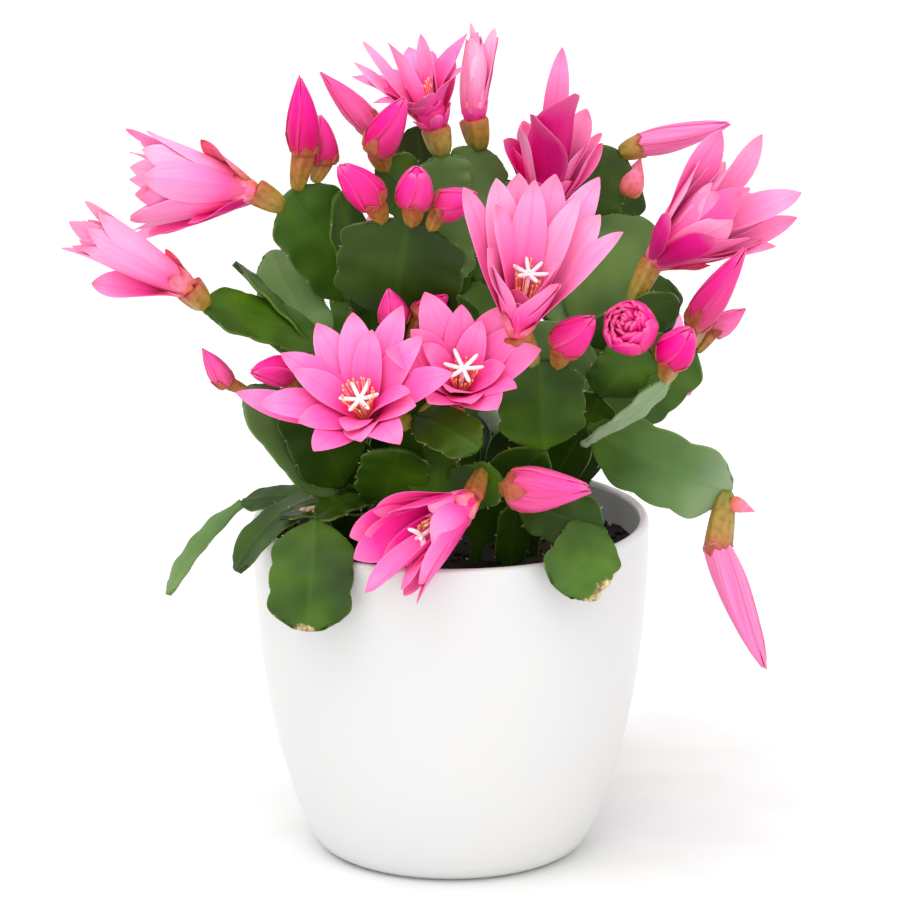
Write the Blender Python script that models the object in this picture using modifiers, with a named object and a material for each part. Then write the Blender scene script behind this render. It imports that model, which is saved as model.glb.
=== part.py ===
"""An easter cactus in flower, in a white glazed pot.

The pot's flat foot rests on the ground plane, with its axis on the world's Z axis.
The front of the plant looks along -Y. Every leafy stem, bloom, bud and stigma is an object of its own.
"""

import math
import random

import bmesh
import bpy
from mathutils import Matrix, Quaternion, Vector, noise

MM = 0.001

# Pot, in metres
POT_HEIGHT = 0.120
RIM_RADIUS = 0.0693
FOOT_RADIUS = 0.0445
WALL = 0.0034
FLOOR = 0.006
POT_SIDES = 34

# Soil, in metres, and the holes that the stems stand in, in mm
SOIL_LEVEL = 0.108
SOIL_MIDDLE_RADIUS = 0.032
SOIL_LUMPS = 0.0018
LUMPS_PER_METRE = 90
CLEARANCE = 0.0003
HOLE_SIDES = 6
HOLE_RADIUS = 4.2
HOLE_TOP = 4.0
ROOT_DEPTH = 6.0

# Leafy stems, in mm
PAD_THICKNESS = 2.1
STALK_HALF_WIDTH = 2.3
STALK_FLATNESS = 0.7
STALK_RISE = 0.42
PAD_CURL = 0.10
FORK_AT = 0.90
FORK_ASIDE = 0.4
OVARY_SIDES = 5
OVARY_RADIUS = 4.3

# Blooms and buds, in mm
TUBE_SIDES = 6
PETAL_THICKNESS = 1.0
PETAL_CURL = 0.24
PETALS_START = 1.2
MIDDLE_AT = 0.48
BUD_SIDES = 8
BUD_TWIST = 0.9
STIGMA_FOOT = 8.0
STIGMA_LOBES = 5
STYLE_RADIUS = 0.9
LOBE_LENGTH = 5.6
LOBE_NOTCH = 1.5
LOBE_RISE = 0.35
LOBE_HALF_THICKNESS = 0.45

# The places on the plant are read by an eye in front that looks down a little
EYE_PITCH = math.radians(15.15)
EYE_DISTANCE = 2.0
EYE_RISE = 0.0235

SIDEWAYS = Vector((1, 0, 0))
AWAY = Vector((0, math.cos(EYE_PITCH), -math.sin(EYE_PITCH)))
RISING = Vector((0, math.sin(EYE_PITCH), math.cos(EYE_PITCH)))
RIM_CENTRE = Vector((0, 0, POT_HEIGHT))
EYE = RIM_CENTRE + RISING * EYE_RISE - AWAY * EYE_DISTANCE

GREEN = (0.105, 0.215, 0.045)
PINK = (0.86, 0.13, 0.40)
LIGHT_PINK = (0.93, 0.27, 0.52)
MAGENTA = (0.62, 0.02, 0.20)
WHITE_LOBE = (0.93, 0.86, 0.84)


def clear_scene():
    for item in list(bpy.data.objects):
        bpy.data.objects.remove(item, do_unlink=True)


def new_collection(name):
    collection = bpy.data.collections.new(name)
    bpy.context.scene.collection.children.link(collection)
    return collection


def seen(across, up, back):
    """The point that looks to be `across` and `up` mm from the rim's centre and lies `back` mm behind it."""
    mark = RIM_CENTRE + (SIDEWAYS * across + RISING * up) * MM
    sight = mark - EYE
    return EYE + sight * ((back * MM - EYE.y) / sight.y)


def own_material(item, colour, roughness):
    material = bpy.data.materials.new(item.name)
    material.use_nodes = True
    shader = material.node_tree.nodes["Principled BSDF"]
    shader.inputs["Base Color"].default_value = (*colour, 1)
    shader.inputs["Roughness"].default_value = roughness
    shader.inputs["Metallic"].default_value = 0
    item.data.materials.clear()
    item.data.materials.append(material)


def mesh_object(name, points, faces, collection):
    mesh = bpy.data.meshes.new(name)
    mesh.from_pydata([tuple(p) for p in points], [], faces)
    work = bmesh.new()
    work.from_mesh(mesh)
    bmesh.ops.recalc_face_normals(work, faces=work.faces)
    work.to_mesh(mesh)
    work.free()
    item = bpy.data.objects.new(name, mesh)
    collection.objects.link(item)
    return item


def applied(item):
    """Replaces the object's mesh with its evaluated one, and drops its modifiers."""
    evaluated = item.evaluated_get(bpy.context.evaluated_depsgraph_get())
    mesh = bpy.data.meshes.new_from_object(evaluated)
    item.modifiers.clear()
    item.data = mesh
    return item


def fuse(name, pieces, loose, colour, roughness, solver="EXACT"):
    """Joins the loose pieces of one collection in one closed body."""
    body = pieces[0]
    loose.objects.unlink(body)
    PLANT.objects.link(body)
    body.name = name
    if len(pieces) > 1:
        union = body.modifiers.new("union", "BOOLEAN")
        union.operation = "UNION"
        union.operand_type = "COLLECTION"
        union.collection = loose
        union.solver = solver
        bpy.context.view_layer.update()
        applied(body)
    for piece in pieces[1:]:
        bpy.data.objects.remove(piece, do_unlink=True)
    bpy.data.collections.remove(loose)
    body.data.name = name
    own_material(body, colour, roughness)
    return body


def across_axis(axis, turn):
    """The direction that a flat blade faces: towards the eye, turned about the blade's own axis."""
    facing = -AWAY - axis * (-AWAY).dot(axis)
    if facing.length < 0.15:
        facing = RISING - axis * RISING.dot(axis)
    return Matrix.Rotation(math.radians(turn), 3, axis) @ facing.normalized()


def blade(name, sections, collection, tip=None):
    """A thin closed blade with a raised rib: both of its faces are split into triangles alike.

    A section is its centre, the way to its right edge, the way that it faces, half its width,
    half its thickness and how far its edges curl towards the way it faces.
    """
    points = []
    faces = []
    for centre, side, normal, half_width, half_thick, curl in sections:
        left = centre - side * half_width + normal * curl
        right = centre + side * half_width + normal * curl
        points += [left, centre + normal * half_thick, right, centre - normal * half_thick]
    for row in range(len(sections) - 1):
        a = 4 * row
        b = a + 4
        for rib in (1, 3):
            for edge in (0, 2):
                faces += [(a + edge, a + rib, b + rib), (a + edge, b + rib, b + edge)]
    faces += [(0, 1, 3), (2, 1, 3)]
    last = 4 * (len(sections) - 1)
    if tip:
        points.append(tip)
        for edge in (0, 2):
            for rib in (1, 3):
                faces.append((last + edge, last + rib, len(points) - 1))
    else:
        faces += [(last, last + 1, last + 3), (last + 2, last + 1, last + 3)]
    return mesh_object(name, points, faces, collection)


# How far along a pad its sections lie, and how full the pad's width is there: crenate on the pads that
# show, plainer on those inside the plant, and with a long stalk on those that stand in the soil
CRENATE = ((0, 0), (0.15, 0.70), (0.32, 0.95), (0.43, 0.89), (0.58, 1.0), (0.72, 0.91), (0.86, 0.90),
           (1.0, 0.40))
PLAIN = ((0, 0), (0.16, 0.70), (0.38, 0.98), (0.68, 1.0), (0.88, 0.84), (1.0, 0.40))
STALKED = ((0, 0), (0.26, 0), (0.50, 0.92), (0.78, 1.0), (1.0, 0.45))


class Pad:
    """One flat segment of a leafy stem, from its narrow base to its tip.

    The tip is blunt, or a narrow neck if the next pad goes on from it.
    """

    def __init__(self, base, tip, width, turn, bend, outline, goes_on):
        self.outline = outline[:-1] + ((1.0, 0),) if goes_on else outline
        self.axis = (tip - base).normalized()
        self.facing = across_axis(self.axis, turn)
        self.side = self.axis.cross(self.facing)
        self.width = width * MM
        middle = (base + tip) / 2 + self.facing * bend * MM
        if outline is STALKED:
            middle = base + Vector((0, 0, (tip - base).length * STALK_RISE))
        self.curve = (base, middle, tip)

    def fullness(self, along):
        """The share of its full width that the pad has there."""
        for (low, first), (high, second) in zip(self.outline, self.outline[1:]):
            if along <= high:
                return first + (second - first) * (along - low) / (high - low)
        return self.outline[-1][1]

    def at(self, along, aside):
        """A place on the pad: along from 0 to 1, and aside from -1 to 1, its edges."""
        start, middle, end = self.curve
        place = start * (1 - along) ** 2 + middle * 2 * along * (1 - along) + end * along ** 2
        return place + self.side * (aside * self.fullness(along) * self.width / 2)

    def sections(self, before):
        """The pad's sections, turned so that they follow on from the side of the pad before."""
        start, middle, end = self.curve
        side = -self.side if before and before.side.dot(self.side) < 0 else self.side
        rows = []
        for along, fullness in self.outline:
            direction = ((middle - start) * (1 - along) + (end - middle) * along).normalized()
            facing = side.cross(direction).normalized()
            square = direction.cross(facing)
            half_width = max(self.width / 2 * fullness, STALK_HALF_WIDTH * MM)
            half_thick = PAD_THICKNESS / 2 * MM * (1.25 - 0.45 * along)
            if fullness == 0:
                half_thick = STALK_HALF_WIDTH * MM * STALK_FLATNESS
            rows.append((self.at(along, 0), square, facing, half_width, half_thick, half_width * PAD_CURL))
        return rows[1:] if before else rows


def ring_solid(name, rings, sides, collection, tip=None):
    """A closed solid of rings: each is its centre, its two cross directions, its radius and its lobing."""
    points = []
    faces = []
    for centre, first, second, radius, lobing in rings:
        for step in range(sides):
            angle = math.tau * step / sides
            reach = radius * (1 + lobing * (1 if step % 2 else -1))
            points.append(centre + (first * math.cos(angle) + second * math.sin(angle)) * reach)
    for row in range(len(rings) - 1):
        for step in range(sides):
            a = row * sides + step
            b = row * sides + (step + 1) % sides
            faces += [(a, b, b + sides), (a, b + sides, a + sides)]
    faces.append(tuple(range(sides)))
    top = (len(rings) - 1) * sides
    if tip is None:
        faces.append(tuple(range(top, top + sides)))
    else:
        points.append(tip)
        faces += [(top + step, top + (step + 1) % sides, len(points) - 1) for step in range(sides)]
    return mesh_object(name, points, faces, collection)


def frame_of(axis):
    first = axis.orthogonal().normalized()
    return first, axis.cross(first)


# How far along an ovary its rings lie, and their share of its radius
OVARY_RINGS = ((0, 0.55), (0.5, 1.0), (1.0, 0.84))


def ovary(name, foot, head, flower_axis, radius, collection):
    """The barrel between a pad's tip and its flower, with its end square to the flower's axis."""
    axis = (head - foot).normalized()
    first, second = frame_of(axis)
    lean = axis.rotation_difference(flower_axis)
    rings = []
    for along, share in OVARY_RINGS:
        tilt = Quaternion().slerp(lean, along)
        rings.append((foot.lerp(head, along), tilt @ first, tilt @ second, radius * share, 0))
    return ring_solid(name, rings, OVARY_SIDES, collection)


# How far along a bud its rings lie, their share of its radius, and how deep its petals' edges are
BUD_RINGS = ((0, 0.66, 0.02), (0.18, 0.98, 0.07), (0.42, 1.0, 0.09), (0.74, 0.60, 0.08))


def bud(name, foot, tip, radius):
    """A closed bud: petals folded over each other in a ridged spindle."""
    loose = new_collection(name + "_loose")
    axis = (tip - foot).normalized()
    first, second = frame_of(axis)
    rings = []
    for along, share, lobing in BUD_RINGS:
        twist = Matrix.Rotation(along * BUD_TWIST, 3, axis)
        rings.append((foot.lerp(tip, along), twist @ first, twist @ second, radius * share * MM, lobing))
    solid = ring_solid(name, rings, BUD_SIDES, loose, tip)
    solid.data.shade_smooth()
    return fuse(name, [solid], loose, MAGENTA, 0.42)


# How far along a petal its sections lie, and how full the petal's width is there: more of them on the
# outer petals, which arch, than on the inner ones
OUTER_PETAL = ((0.04, 0.24), (0.34, 0.78), (0.62, 1.0), (0.84, 0.76))
INNER_PETAL = ((0.04, 0.24), (0.62, 1.0))


def petal(name, start, axis, outward, length, lean, arch, width, outline, collection):
    """One pointed petal that leans out from the bloom's axis by `lean` degrees.

    It leans by `arch` times as much halfway: under 1 it bends out towards its tip, and over 1 back in.
    """
    angle = math.radians(lean)
    halfway = angle * arch
    end = start + (axis * math.cos(angle) + outward * math.sin(angle)) * length
    middle = start + (axis * math.cos(halfway) + outward * math.sin(halfway)) * length * MIDDLE_AT
    side = axis.cross(outward)
    sections = []
    for along, fullness in outline:
        place = start * (1 - along) ** 2 + middle * 2 * along * (1 - along) + end * along ** 2
        direction = ((middle - start) * (1 - along) + (end - middle) * along).normalized()
        inward = direction.cross(side)
        half_width = width / 2 * fullness
        sections.append((place, side, inward, half_width, PETAL_THICKNESS / 2 * MM, half_width * PETAL_CURL))
    return blade(name, sections, collection, end)


# How each kind of bloom's petals arch
ARCH = {"narrow": 2.0, "open": 1.7, "wide": 0.95, "star": 0.45}
# The whorls of a bloom, outside first: petals, share of the length, share of the spread, width in mm
# and how far from the bloom's axis the petals start, in mm
WHORLS = {
    "narrow": ((5, 1.0, 1.0, 8.6, 3.9), (3, 0.93, 0.40, 5.4, 1.3)),
    "open": ((6, 1.0, 1.0, 10.2, 3.4), (4, 0.92, 0.64, 8.0, 1.1)),
    "wide": ((6, 1.0, 1.0, 12.0, 3.4), (5, 0.96, 0.60, 9.6, 1.3)),
    "star": ((6, 1.0, 1.0, 12.4, 3.2), (4, 0.84, 0.60, 10.0, 1.1)),
}
TUBE = ((0, 3.4), (2.6, 5.0), (7.5, 5.6))


def bloom(name, foot, head, whorls, spread, roll, length, colour):
    """An open bloom: whorls of petals that rise from one short tube."""
    loose = new_collection(name + "_loose")
    axis = (head - foot).normalized()
    first = SIDEWAYS.cross(axis).normalized()
    second = axis.cross(first)
    tube = [(foot + axis * along * MM, first, second, radius * MM, 0) for along, radius in TUBE]
    pieces = [ring_solid(name, tube, TUBE_SIDES, loose)]
    draw = random.Random(name)
    for row, (count, reach, opening, width, start) in enumerate(WHORLS[whorls]):
        for number in range(count):
            angle = math.radians(roll) + math.tau * (number + 0.5 * row) / count + draw.uniform(-0.08, 0.08)
            outward = first * math.cos(angle) + second * math.sin(angle)
            lean = spread * opening + draw.uniform(-2, 2)
            size = length * MM * reach * draw.uniform(0.92, 1.04)
            root = foot + (axis * PETALS_START * (row + 1) + outward * start) * MM
            outline = INNER_PETAL if row else OUTER_PETAL
            pieces.append(petal(name, root, axis, outward, size, lean, ARCH[whorls], width * MM, outline,
                                loose))
    return fuse(name, pieces, loose, colour, 0.5)


def stigma(name, foot, axis, height):
    """The white star of a bloom: a thin style with pointed lobes that rise a little from its top."""
    loose = new_collection(name + "_loose")
    first, second = frame_of(axis)
    top = foot + axis * height * MM
    style = [(place, first, second, STYLE_RADIUS * MM, 0) for place in (foot, top)]
    points = [top - axis * STYLE_RADIUS * MM, top + axis * STYLE_RADIUS * MM]
    faces = []
    corners = 2 * STIGMA_LOBES
    for corner in range(corners):
        angle = math.tau * corner / corners
        outward = first * math.cos(angle) + second * math.sin(angle)
        reach, rise = (LOBE_NOTCH, 0) if corner % 2 else (LOBE_LENGTH, LOBE_LENGTH * LOBE_RISE)
        for side in (-LOBE_HALF_THICKNESS, LOBE_HALF_THICKNESS):
            points.append(top + (outward * reach + axis * (rise + side)) * MM)
    for corner in range(corners):
        low = 2 + 2 * corner
        following = 2 + 2 * ((corner + 1) % corners)
        faces += [(0, low, following), (1, low + 1, following + 1)]
        faces += [(low, low + 1, following + 1), (low, following + 1, following)]
    pieces = [ring_solid(name, style, 4, loose), mesh_object(name + "_lobes", points, faces, loose)]
    return fuse(name, pieces, loose, WHITE_LOBE, 0.5)


def pot_radius(height):
    """The pot's outer radius: a wall that swells from the foot and stands nearly upright at the rim."""
    share = min(max(height / POT_HEIGHT, 0), 1)
    return FOOT_RADIUS + (RIM_RADIUS - FOOT_RADIUS) * math.sin(share ** 0.74 * math.pi / 2) ** 0.92


# Where the wall's sections lie, outside from the top down and inside from the floor up
OUTER_HEIGHTS = (0.110, 0.094, 0.074, 0.054, 0.034, 0.014)
INNER_HEIGHTS = (0.010, 0.050)


def turned(name, profile, collection):
    """Turns a closed profile of (radius, height) points about the world's Z axis."""
    mesh = bpy.data.meshes.new(name)
    edges = [(n, n + 1) for n in range(len(profile) - 1)]
    mesh.from_pydata([(radius, 0, height) for radius, height in profile], edges, [])
    item = bpy.data.objects.new(name, mesh)
    collection.objects.link(item)
    screw = item.modifiers.new("turn", "SCREW")
    screw.steps = POT_SIDES
    screw.render_steps = POT_SIDES
    screw.use_merge_vertices = True
    screw.merge_threshold = 0.00001
    screw.use_smooth_shade = True
    return item


def make_pot():
    """The white glazed pot: a rounded lip, one smooth wall and a flat foot."""
    lip = WALL / 2
    outer = [(pot_radius(height), height) for height in OUTER_HEIGHTS]
    inner = [(pot_radius(height) - WALL, height) for height in (*INNER_HEIGHTS, SOIL_LEVEL)]
    lip_centre = RIM_RADIUS - lip
    crown = []
    for degrees in (150, 90, 30):
        turn = math.radians(degrees)
        crown.append((lip_centre + lip * math.cos(turn), POT_HEIGHT - lip + lip * math.sin(turn)))
    foot = [(FOOT_RADIUS + 0.0008, 0.0022), (FOOT_RADIUS - 0.001, 0)]
    profile = [(0, FLOOR), (FOOT_RADIUS - 0.004, FLOOR)] + inner + crown + outer + foot + [(0, 0)]
    pot = turned("pot", profile, PLANT)
    own_material(pot, (0.90, 0.90, 0.89), 0.22)
    return pot


def make_soil(roots):
    """Dark soil that fills the pot, lumpy on top, with a plain hole for the foot of each stem."""
    side = [(pot_radius(height) - WALL - CLEARANCE, height) for height in reversed(INNER_HEIGHTS)]
    top = [(0, SOIL_LEVEL), (SOIL_MIDDLE_RADIUS, SOIL_LEVEL)]
    top.append((pot_radius(SOIL_LEVEL) - WALL - CLEARANCE, SOIL_LEVEL - 0.0005))
    base = FLOOR + CLEARANCE
    profile = top + side + [(FOOT_RADIUS - 0.005, base), (0, base)]
    soil = applied(turned("soil", profile, PLANT))
    for vertex in soil.data.vertices:
        if vertex.co.z > SOIL_LEVEL - 0.0002:
            vertex.co.z += SOIL_LUMPS * noise.noise(vertex.co * LUMPS_PER_METRE)
    floor = SOIL_LEVEL - ROOT_DEPTH * MM - CLEARANCE
    top = SOIL_LEVEL + HOLE_TOP * MM
    for number, (x, y) in enumerate(roots):
        bpy.ops.mesh.primitive_cylinder_add(vertices=HOLE_SIDES, radius=HOLE_RADIUS * MM, depth=top - floor,
                                            location=(x * MM, y * MM, (top + floor) / 2))
        cutter = bpy.context.object
        cutter.name = f"hole_{number}"
        for owner in list(cutter.users_collection):
            owner.objects.unlink(cutter)
        CUTTERS.objects.link(cutter)
        cutter.hide_render = True
        cutter.display_type = "WIRE"
        hole = soil.modifiers.new(cutter.name, "BOOLEAN")
        hole.operation = "DIFFERENCE"
        hole.object = cutter
    own_material(soil, (0.022, 0.016, 0.012), 0.95)
    return soil


# The pads that are mostly hidden inside the plant
INNER_PADS = ("riser", "link", "back", "lean", "rear")

# Each stem: where it leaves the soil (x, y in mm), and its pads. A pad has its own name, what it grows
# from, where its tip is seen (across, up, back in mm), its width, its turn in degrees and its bend in mm.
STEMS = {
    "stem_front_left": ((-20, -30), (
        ("foot", None, (-27, 5, -36), 13, 30, 2),
        ("ledge", "foot", (-47, -2, -50), 13, 60, 4),
        ("apron", "ledge", (-50, -41, -70), 29, 5, 5),
        ("shelf", "foot", (-60, -1, -38), 12, 70, 3),
        ("fan", "foot", (-18, 23, -56), 24, 8, -2),
    )),
    "stem_front": ((-4, -36), (
        ("foot", None, (-2, 8, -43), 11, 60, 2),
        ("rail", "foot", (18, 12, -60), 16, 8, 2),
        ("back", "foot", (-13, 34, -50), 20, -15, -3),
        ("tongue", "back", (10, 23, -66), 17, -20, 5),
    )),
    "stem_front_right": ((20, -32), (
        ("foot", None, (23, 5, -44), 13, 25, 2),
        ("step", "foot", (53, -5, -54), 19, 8, 4),
        ("apron", "step", (38, -27, -71), 24, -10, 5),
    )),
    "stem_right": ((28, -10), (
        ("foot", None, (48, 31, -24), 15, -10, 3),
        ("wing", "foot", (98, 8, -32), 29, 30, 8),
        ("strip", "foot", (76, 48, -46), 22, 72, 3),
        ("inner", "foot", (52, 42, -30), 24, -25, -3),
        ("paddle", "inner", (67, 60, -48), 20, 20, 2),
    )),
    "stem_centre": ((8, -18), (
        ("foot", None, (32, 23, -38), 22, 15, 2),
        ("paddle", "foot", (31, 54, -50), 30, 4, 3),
    )),
    "stem_middle_left": ((-8, -10), (
        ("foot", None, (-8, 24, -22), 22, 10, 2),
        ("riser", "foot", (-20, 68, -30), 30, 8, 3),
        ("round", "riser", (-15, 103, -38), 44, -6, 3),
        ("prop", "foot", (-18, 58, -44), 20, 15, 3),
    )),
    "stem_left": ((-27, -6), (
        ("foot", None, (-37, 27, -16), 15, 20, 2),
        ("riser", "foot", (-43, 59, -17), 19, 25, 2),
        ("arm", "riser", (-87, 73, -34), 22, 48, 3),
        ("spear", "riser", (-76, 88, -14), 15, 80, 2),
        ("shield", "riser", (-63, 92, 6), 19, 16, 2),
        ("rear", "foot", (-53, 54, 14), 22, 0, 3),
        ("leaf", "rear", (-58, 84, 28), 23, 10, 3),
    )),
    "stem_upper_left": ((-16, 8), (
        ("foot", None, (-23, 34, -2), 17, 15, 2),
        ("riser", "foot", (-29, 76, -2), 20, 12, -2),
        ("shield", "riser", (-57, 113, -12), 29, 8, 3),
        ("blade", "riser", (-40, 112, -22), 23, 58, 2),
    )),
    "stem_top": ((0, 14), (
        ("foot", None, (-2, 36, 14), 24, -10, 2),
        ("riser", "foot", (-4, 78, 10), 27, 10, 2),
        ("fork", "riser", (-3, 107, 8), 25, 15, -2),
        ("left", "fork", (-3, 126, 2), 19, 16, 2),
        ("right", "fork", (12, 128, 14), 20, 24, 2),
        ("sprig", "fork", (-25, 123, -8), 14, 8, 2),
        ("rear", "fork", (-12, 136, 22), 18, 0, -2),
        ("lean", "foot", (8, 82, 38), 24, -10, 3),
        ("leaf", "lean", (24, 116, 48), 25, 14, 3),
        ("frond", "lean", (-12, 112, 46), 22, -16, 3),
    )),
    "stem_top_right": ((18, 8), (
        ("foot", None, (28, 32, 10), 24, 10, 2),
        ("riser", "foot", (43, 66, 2), 23, -18, 2),
        ("shield", "riser", (69, 103, 14), 28, -14, 2),
        ("back", "riser", (46, 100, 24), 22, 0, 2),
        ("crest", "back", (55, 129, 20), 22, 6, 2),
        ("small", "back", (66, 114, 36), 13, 10, 2),
        ("ledge", "riser", (79, 76, -10), 19, 42, 3),
    )),
    "stem_right_rear": ((31, 6), (
        ("foot", None, (56, 34, 2), 18, 5, 3),
        ("wing", "foot", (83, 61, -12), 27, 12, 3),
        ("rear", "foot", (62, 54, 28), 25, 10, 3),
        ("leaf", "rear", (72, 84, 38), 25, -14, 3),
    )),
    "stem_left_low": ((-33, -14), (
        ("foot", None, (-38, 10, -22), 15, 20, 2),
        ("dark", "foot", (-53, 44, -28), 27, 18, 2),
        ("pale", "foot", (-72, 44, -32), 21, 34, 0),
        ("arch", "foot", (-75, -20, -36), 18, 58, 14),
        ("link", "foot", (-73, 4, -6), 12, 50, 3),
        ("whip", "link", (-99, -28, -6), 12, 48, 6),
    )),
    "stem_back_left": ((-20, 28), (
        ("foot", None, (-22, 34, 44), 18, 20, 2),
        ("riser", "foot", (-30, 56, 66), 26, 30, 3),
        ("fan", "riser", (-26, 88, 78), 30, -14, 3),
        ("hook", "riser", (-46, 40, 92), 22, 40, 8),
        ("side", "foot", (-52, 44, 46), 24, -30, 4),
    )),
    "stem_back": ((4, 34), (
        ("foot", None, (6, 36, 52), 18, -10, 2),
        ("riser", "foot", (6, 74, 62), 28, 5, 3),
        ("fan", "riser", (2, 104, 58), 32, 12, -3),
        ("drop", "foot", (14, 34, 86), 26, -10, 9),
        ("hang", "drop", (22, 6, 94), 24, 10, 4),
    )),
    "stem_back_right": ((26, 24), (
        ("foot", None, (34, 34, 40), 18, -20, 2),
        ("riser", "foot", (46, 62, 58), 27, -28, 3),
        ("fan", "riser", (40, 94, 66), 28, 10, 3),
        ("wing", "riser", (62, 50, 76), 24, -30, 7),
        ("low", "foot", (62, 26, 62), 24, -30, 8),
    )),
}


def grow(root, rows):
    """The pads of one stem by name, and its branches: each a run of sections that follow on.

    The first pad that grows from a pad goes on from its tip, and any other from a side of its tip.
    """
    heirs = {parent: name for name, parent, *_ in reversed(rows)}
    pads = {}
    branches = []
    branch_of = {}
    for name, parent, tip, width, turn, bend in rows:
        end = seen(*tip)
        outline = PLAIN if name in INNER_PADS else CRENATE
        before = pads.get(parent)
        if before is None:
            base = Vector((root[0] * MM, root[1] * MM, SOIL_LEVEL - ROOT_DEPTH * MM))
            outline = STALKED
        elif heirs[parent] == name:
            base = before.curve[2]
        else:
            reach = (end - before.curve[2]).dot(before.side)
            base = before.at(FORK_AT, math.copysign(FORK_ASIDE, reach))
        pads[name] = Pad(base, end, width, turn, bend, outline, name in heirs)
        if before and heirs[parent] == name:
            branch_of[name] = branch_of[parent]
            branch_of[name] += pads[name].sections(before)
        else:
            branch_of[name] = pads[name].sections(None)
            branches.append(branch_of[name])
    return pads, branches


def build_stems():
    """Makes every leafy stem, with the ovaries of its flowers, and returns where the flowers sit."""
    seats = {}
    for stem, (root, rows) in STEMS.items():
        loose = new_collection(stem + "_loose")
        pads, branches = grow(root, rows)
        pieces = [blade(f"{stem}_{number}", branch, loose) for number, branch in enumerate(branches)]
        for flower, (owner, pad, along, aside, base, points_to, _) in FLOWERS.items():
            if owner != stem:
                continue
            radius = OVARY_SHARE.get(flower, 1) * OVARY_RADIUS * MM
            end = seen(*base)
            start = pads[pad].at(along, aside)
            axis = (seen(*points_to) - end).normalized()
            pieces.append(ovary(flower + "_ovary", start, end, axis, radius, loose))
            seats[flower] = end
        fuse(stem, pieces, loose, GREEN, 0.45, "MANIFOLD")
    return seats


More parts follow.
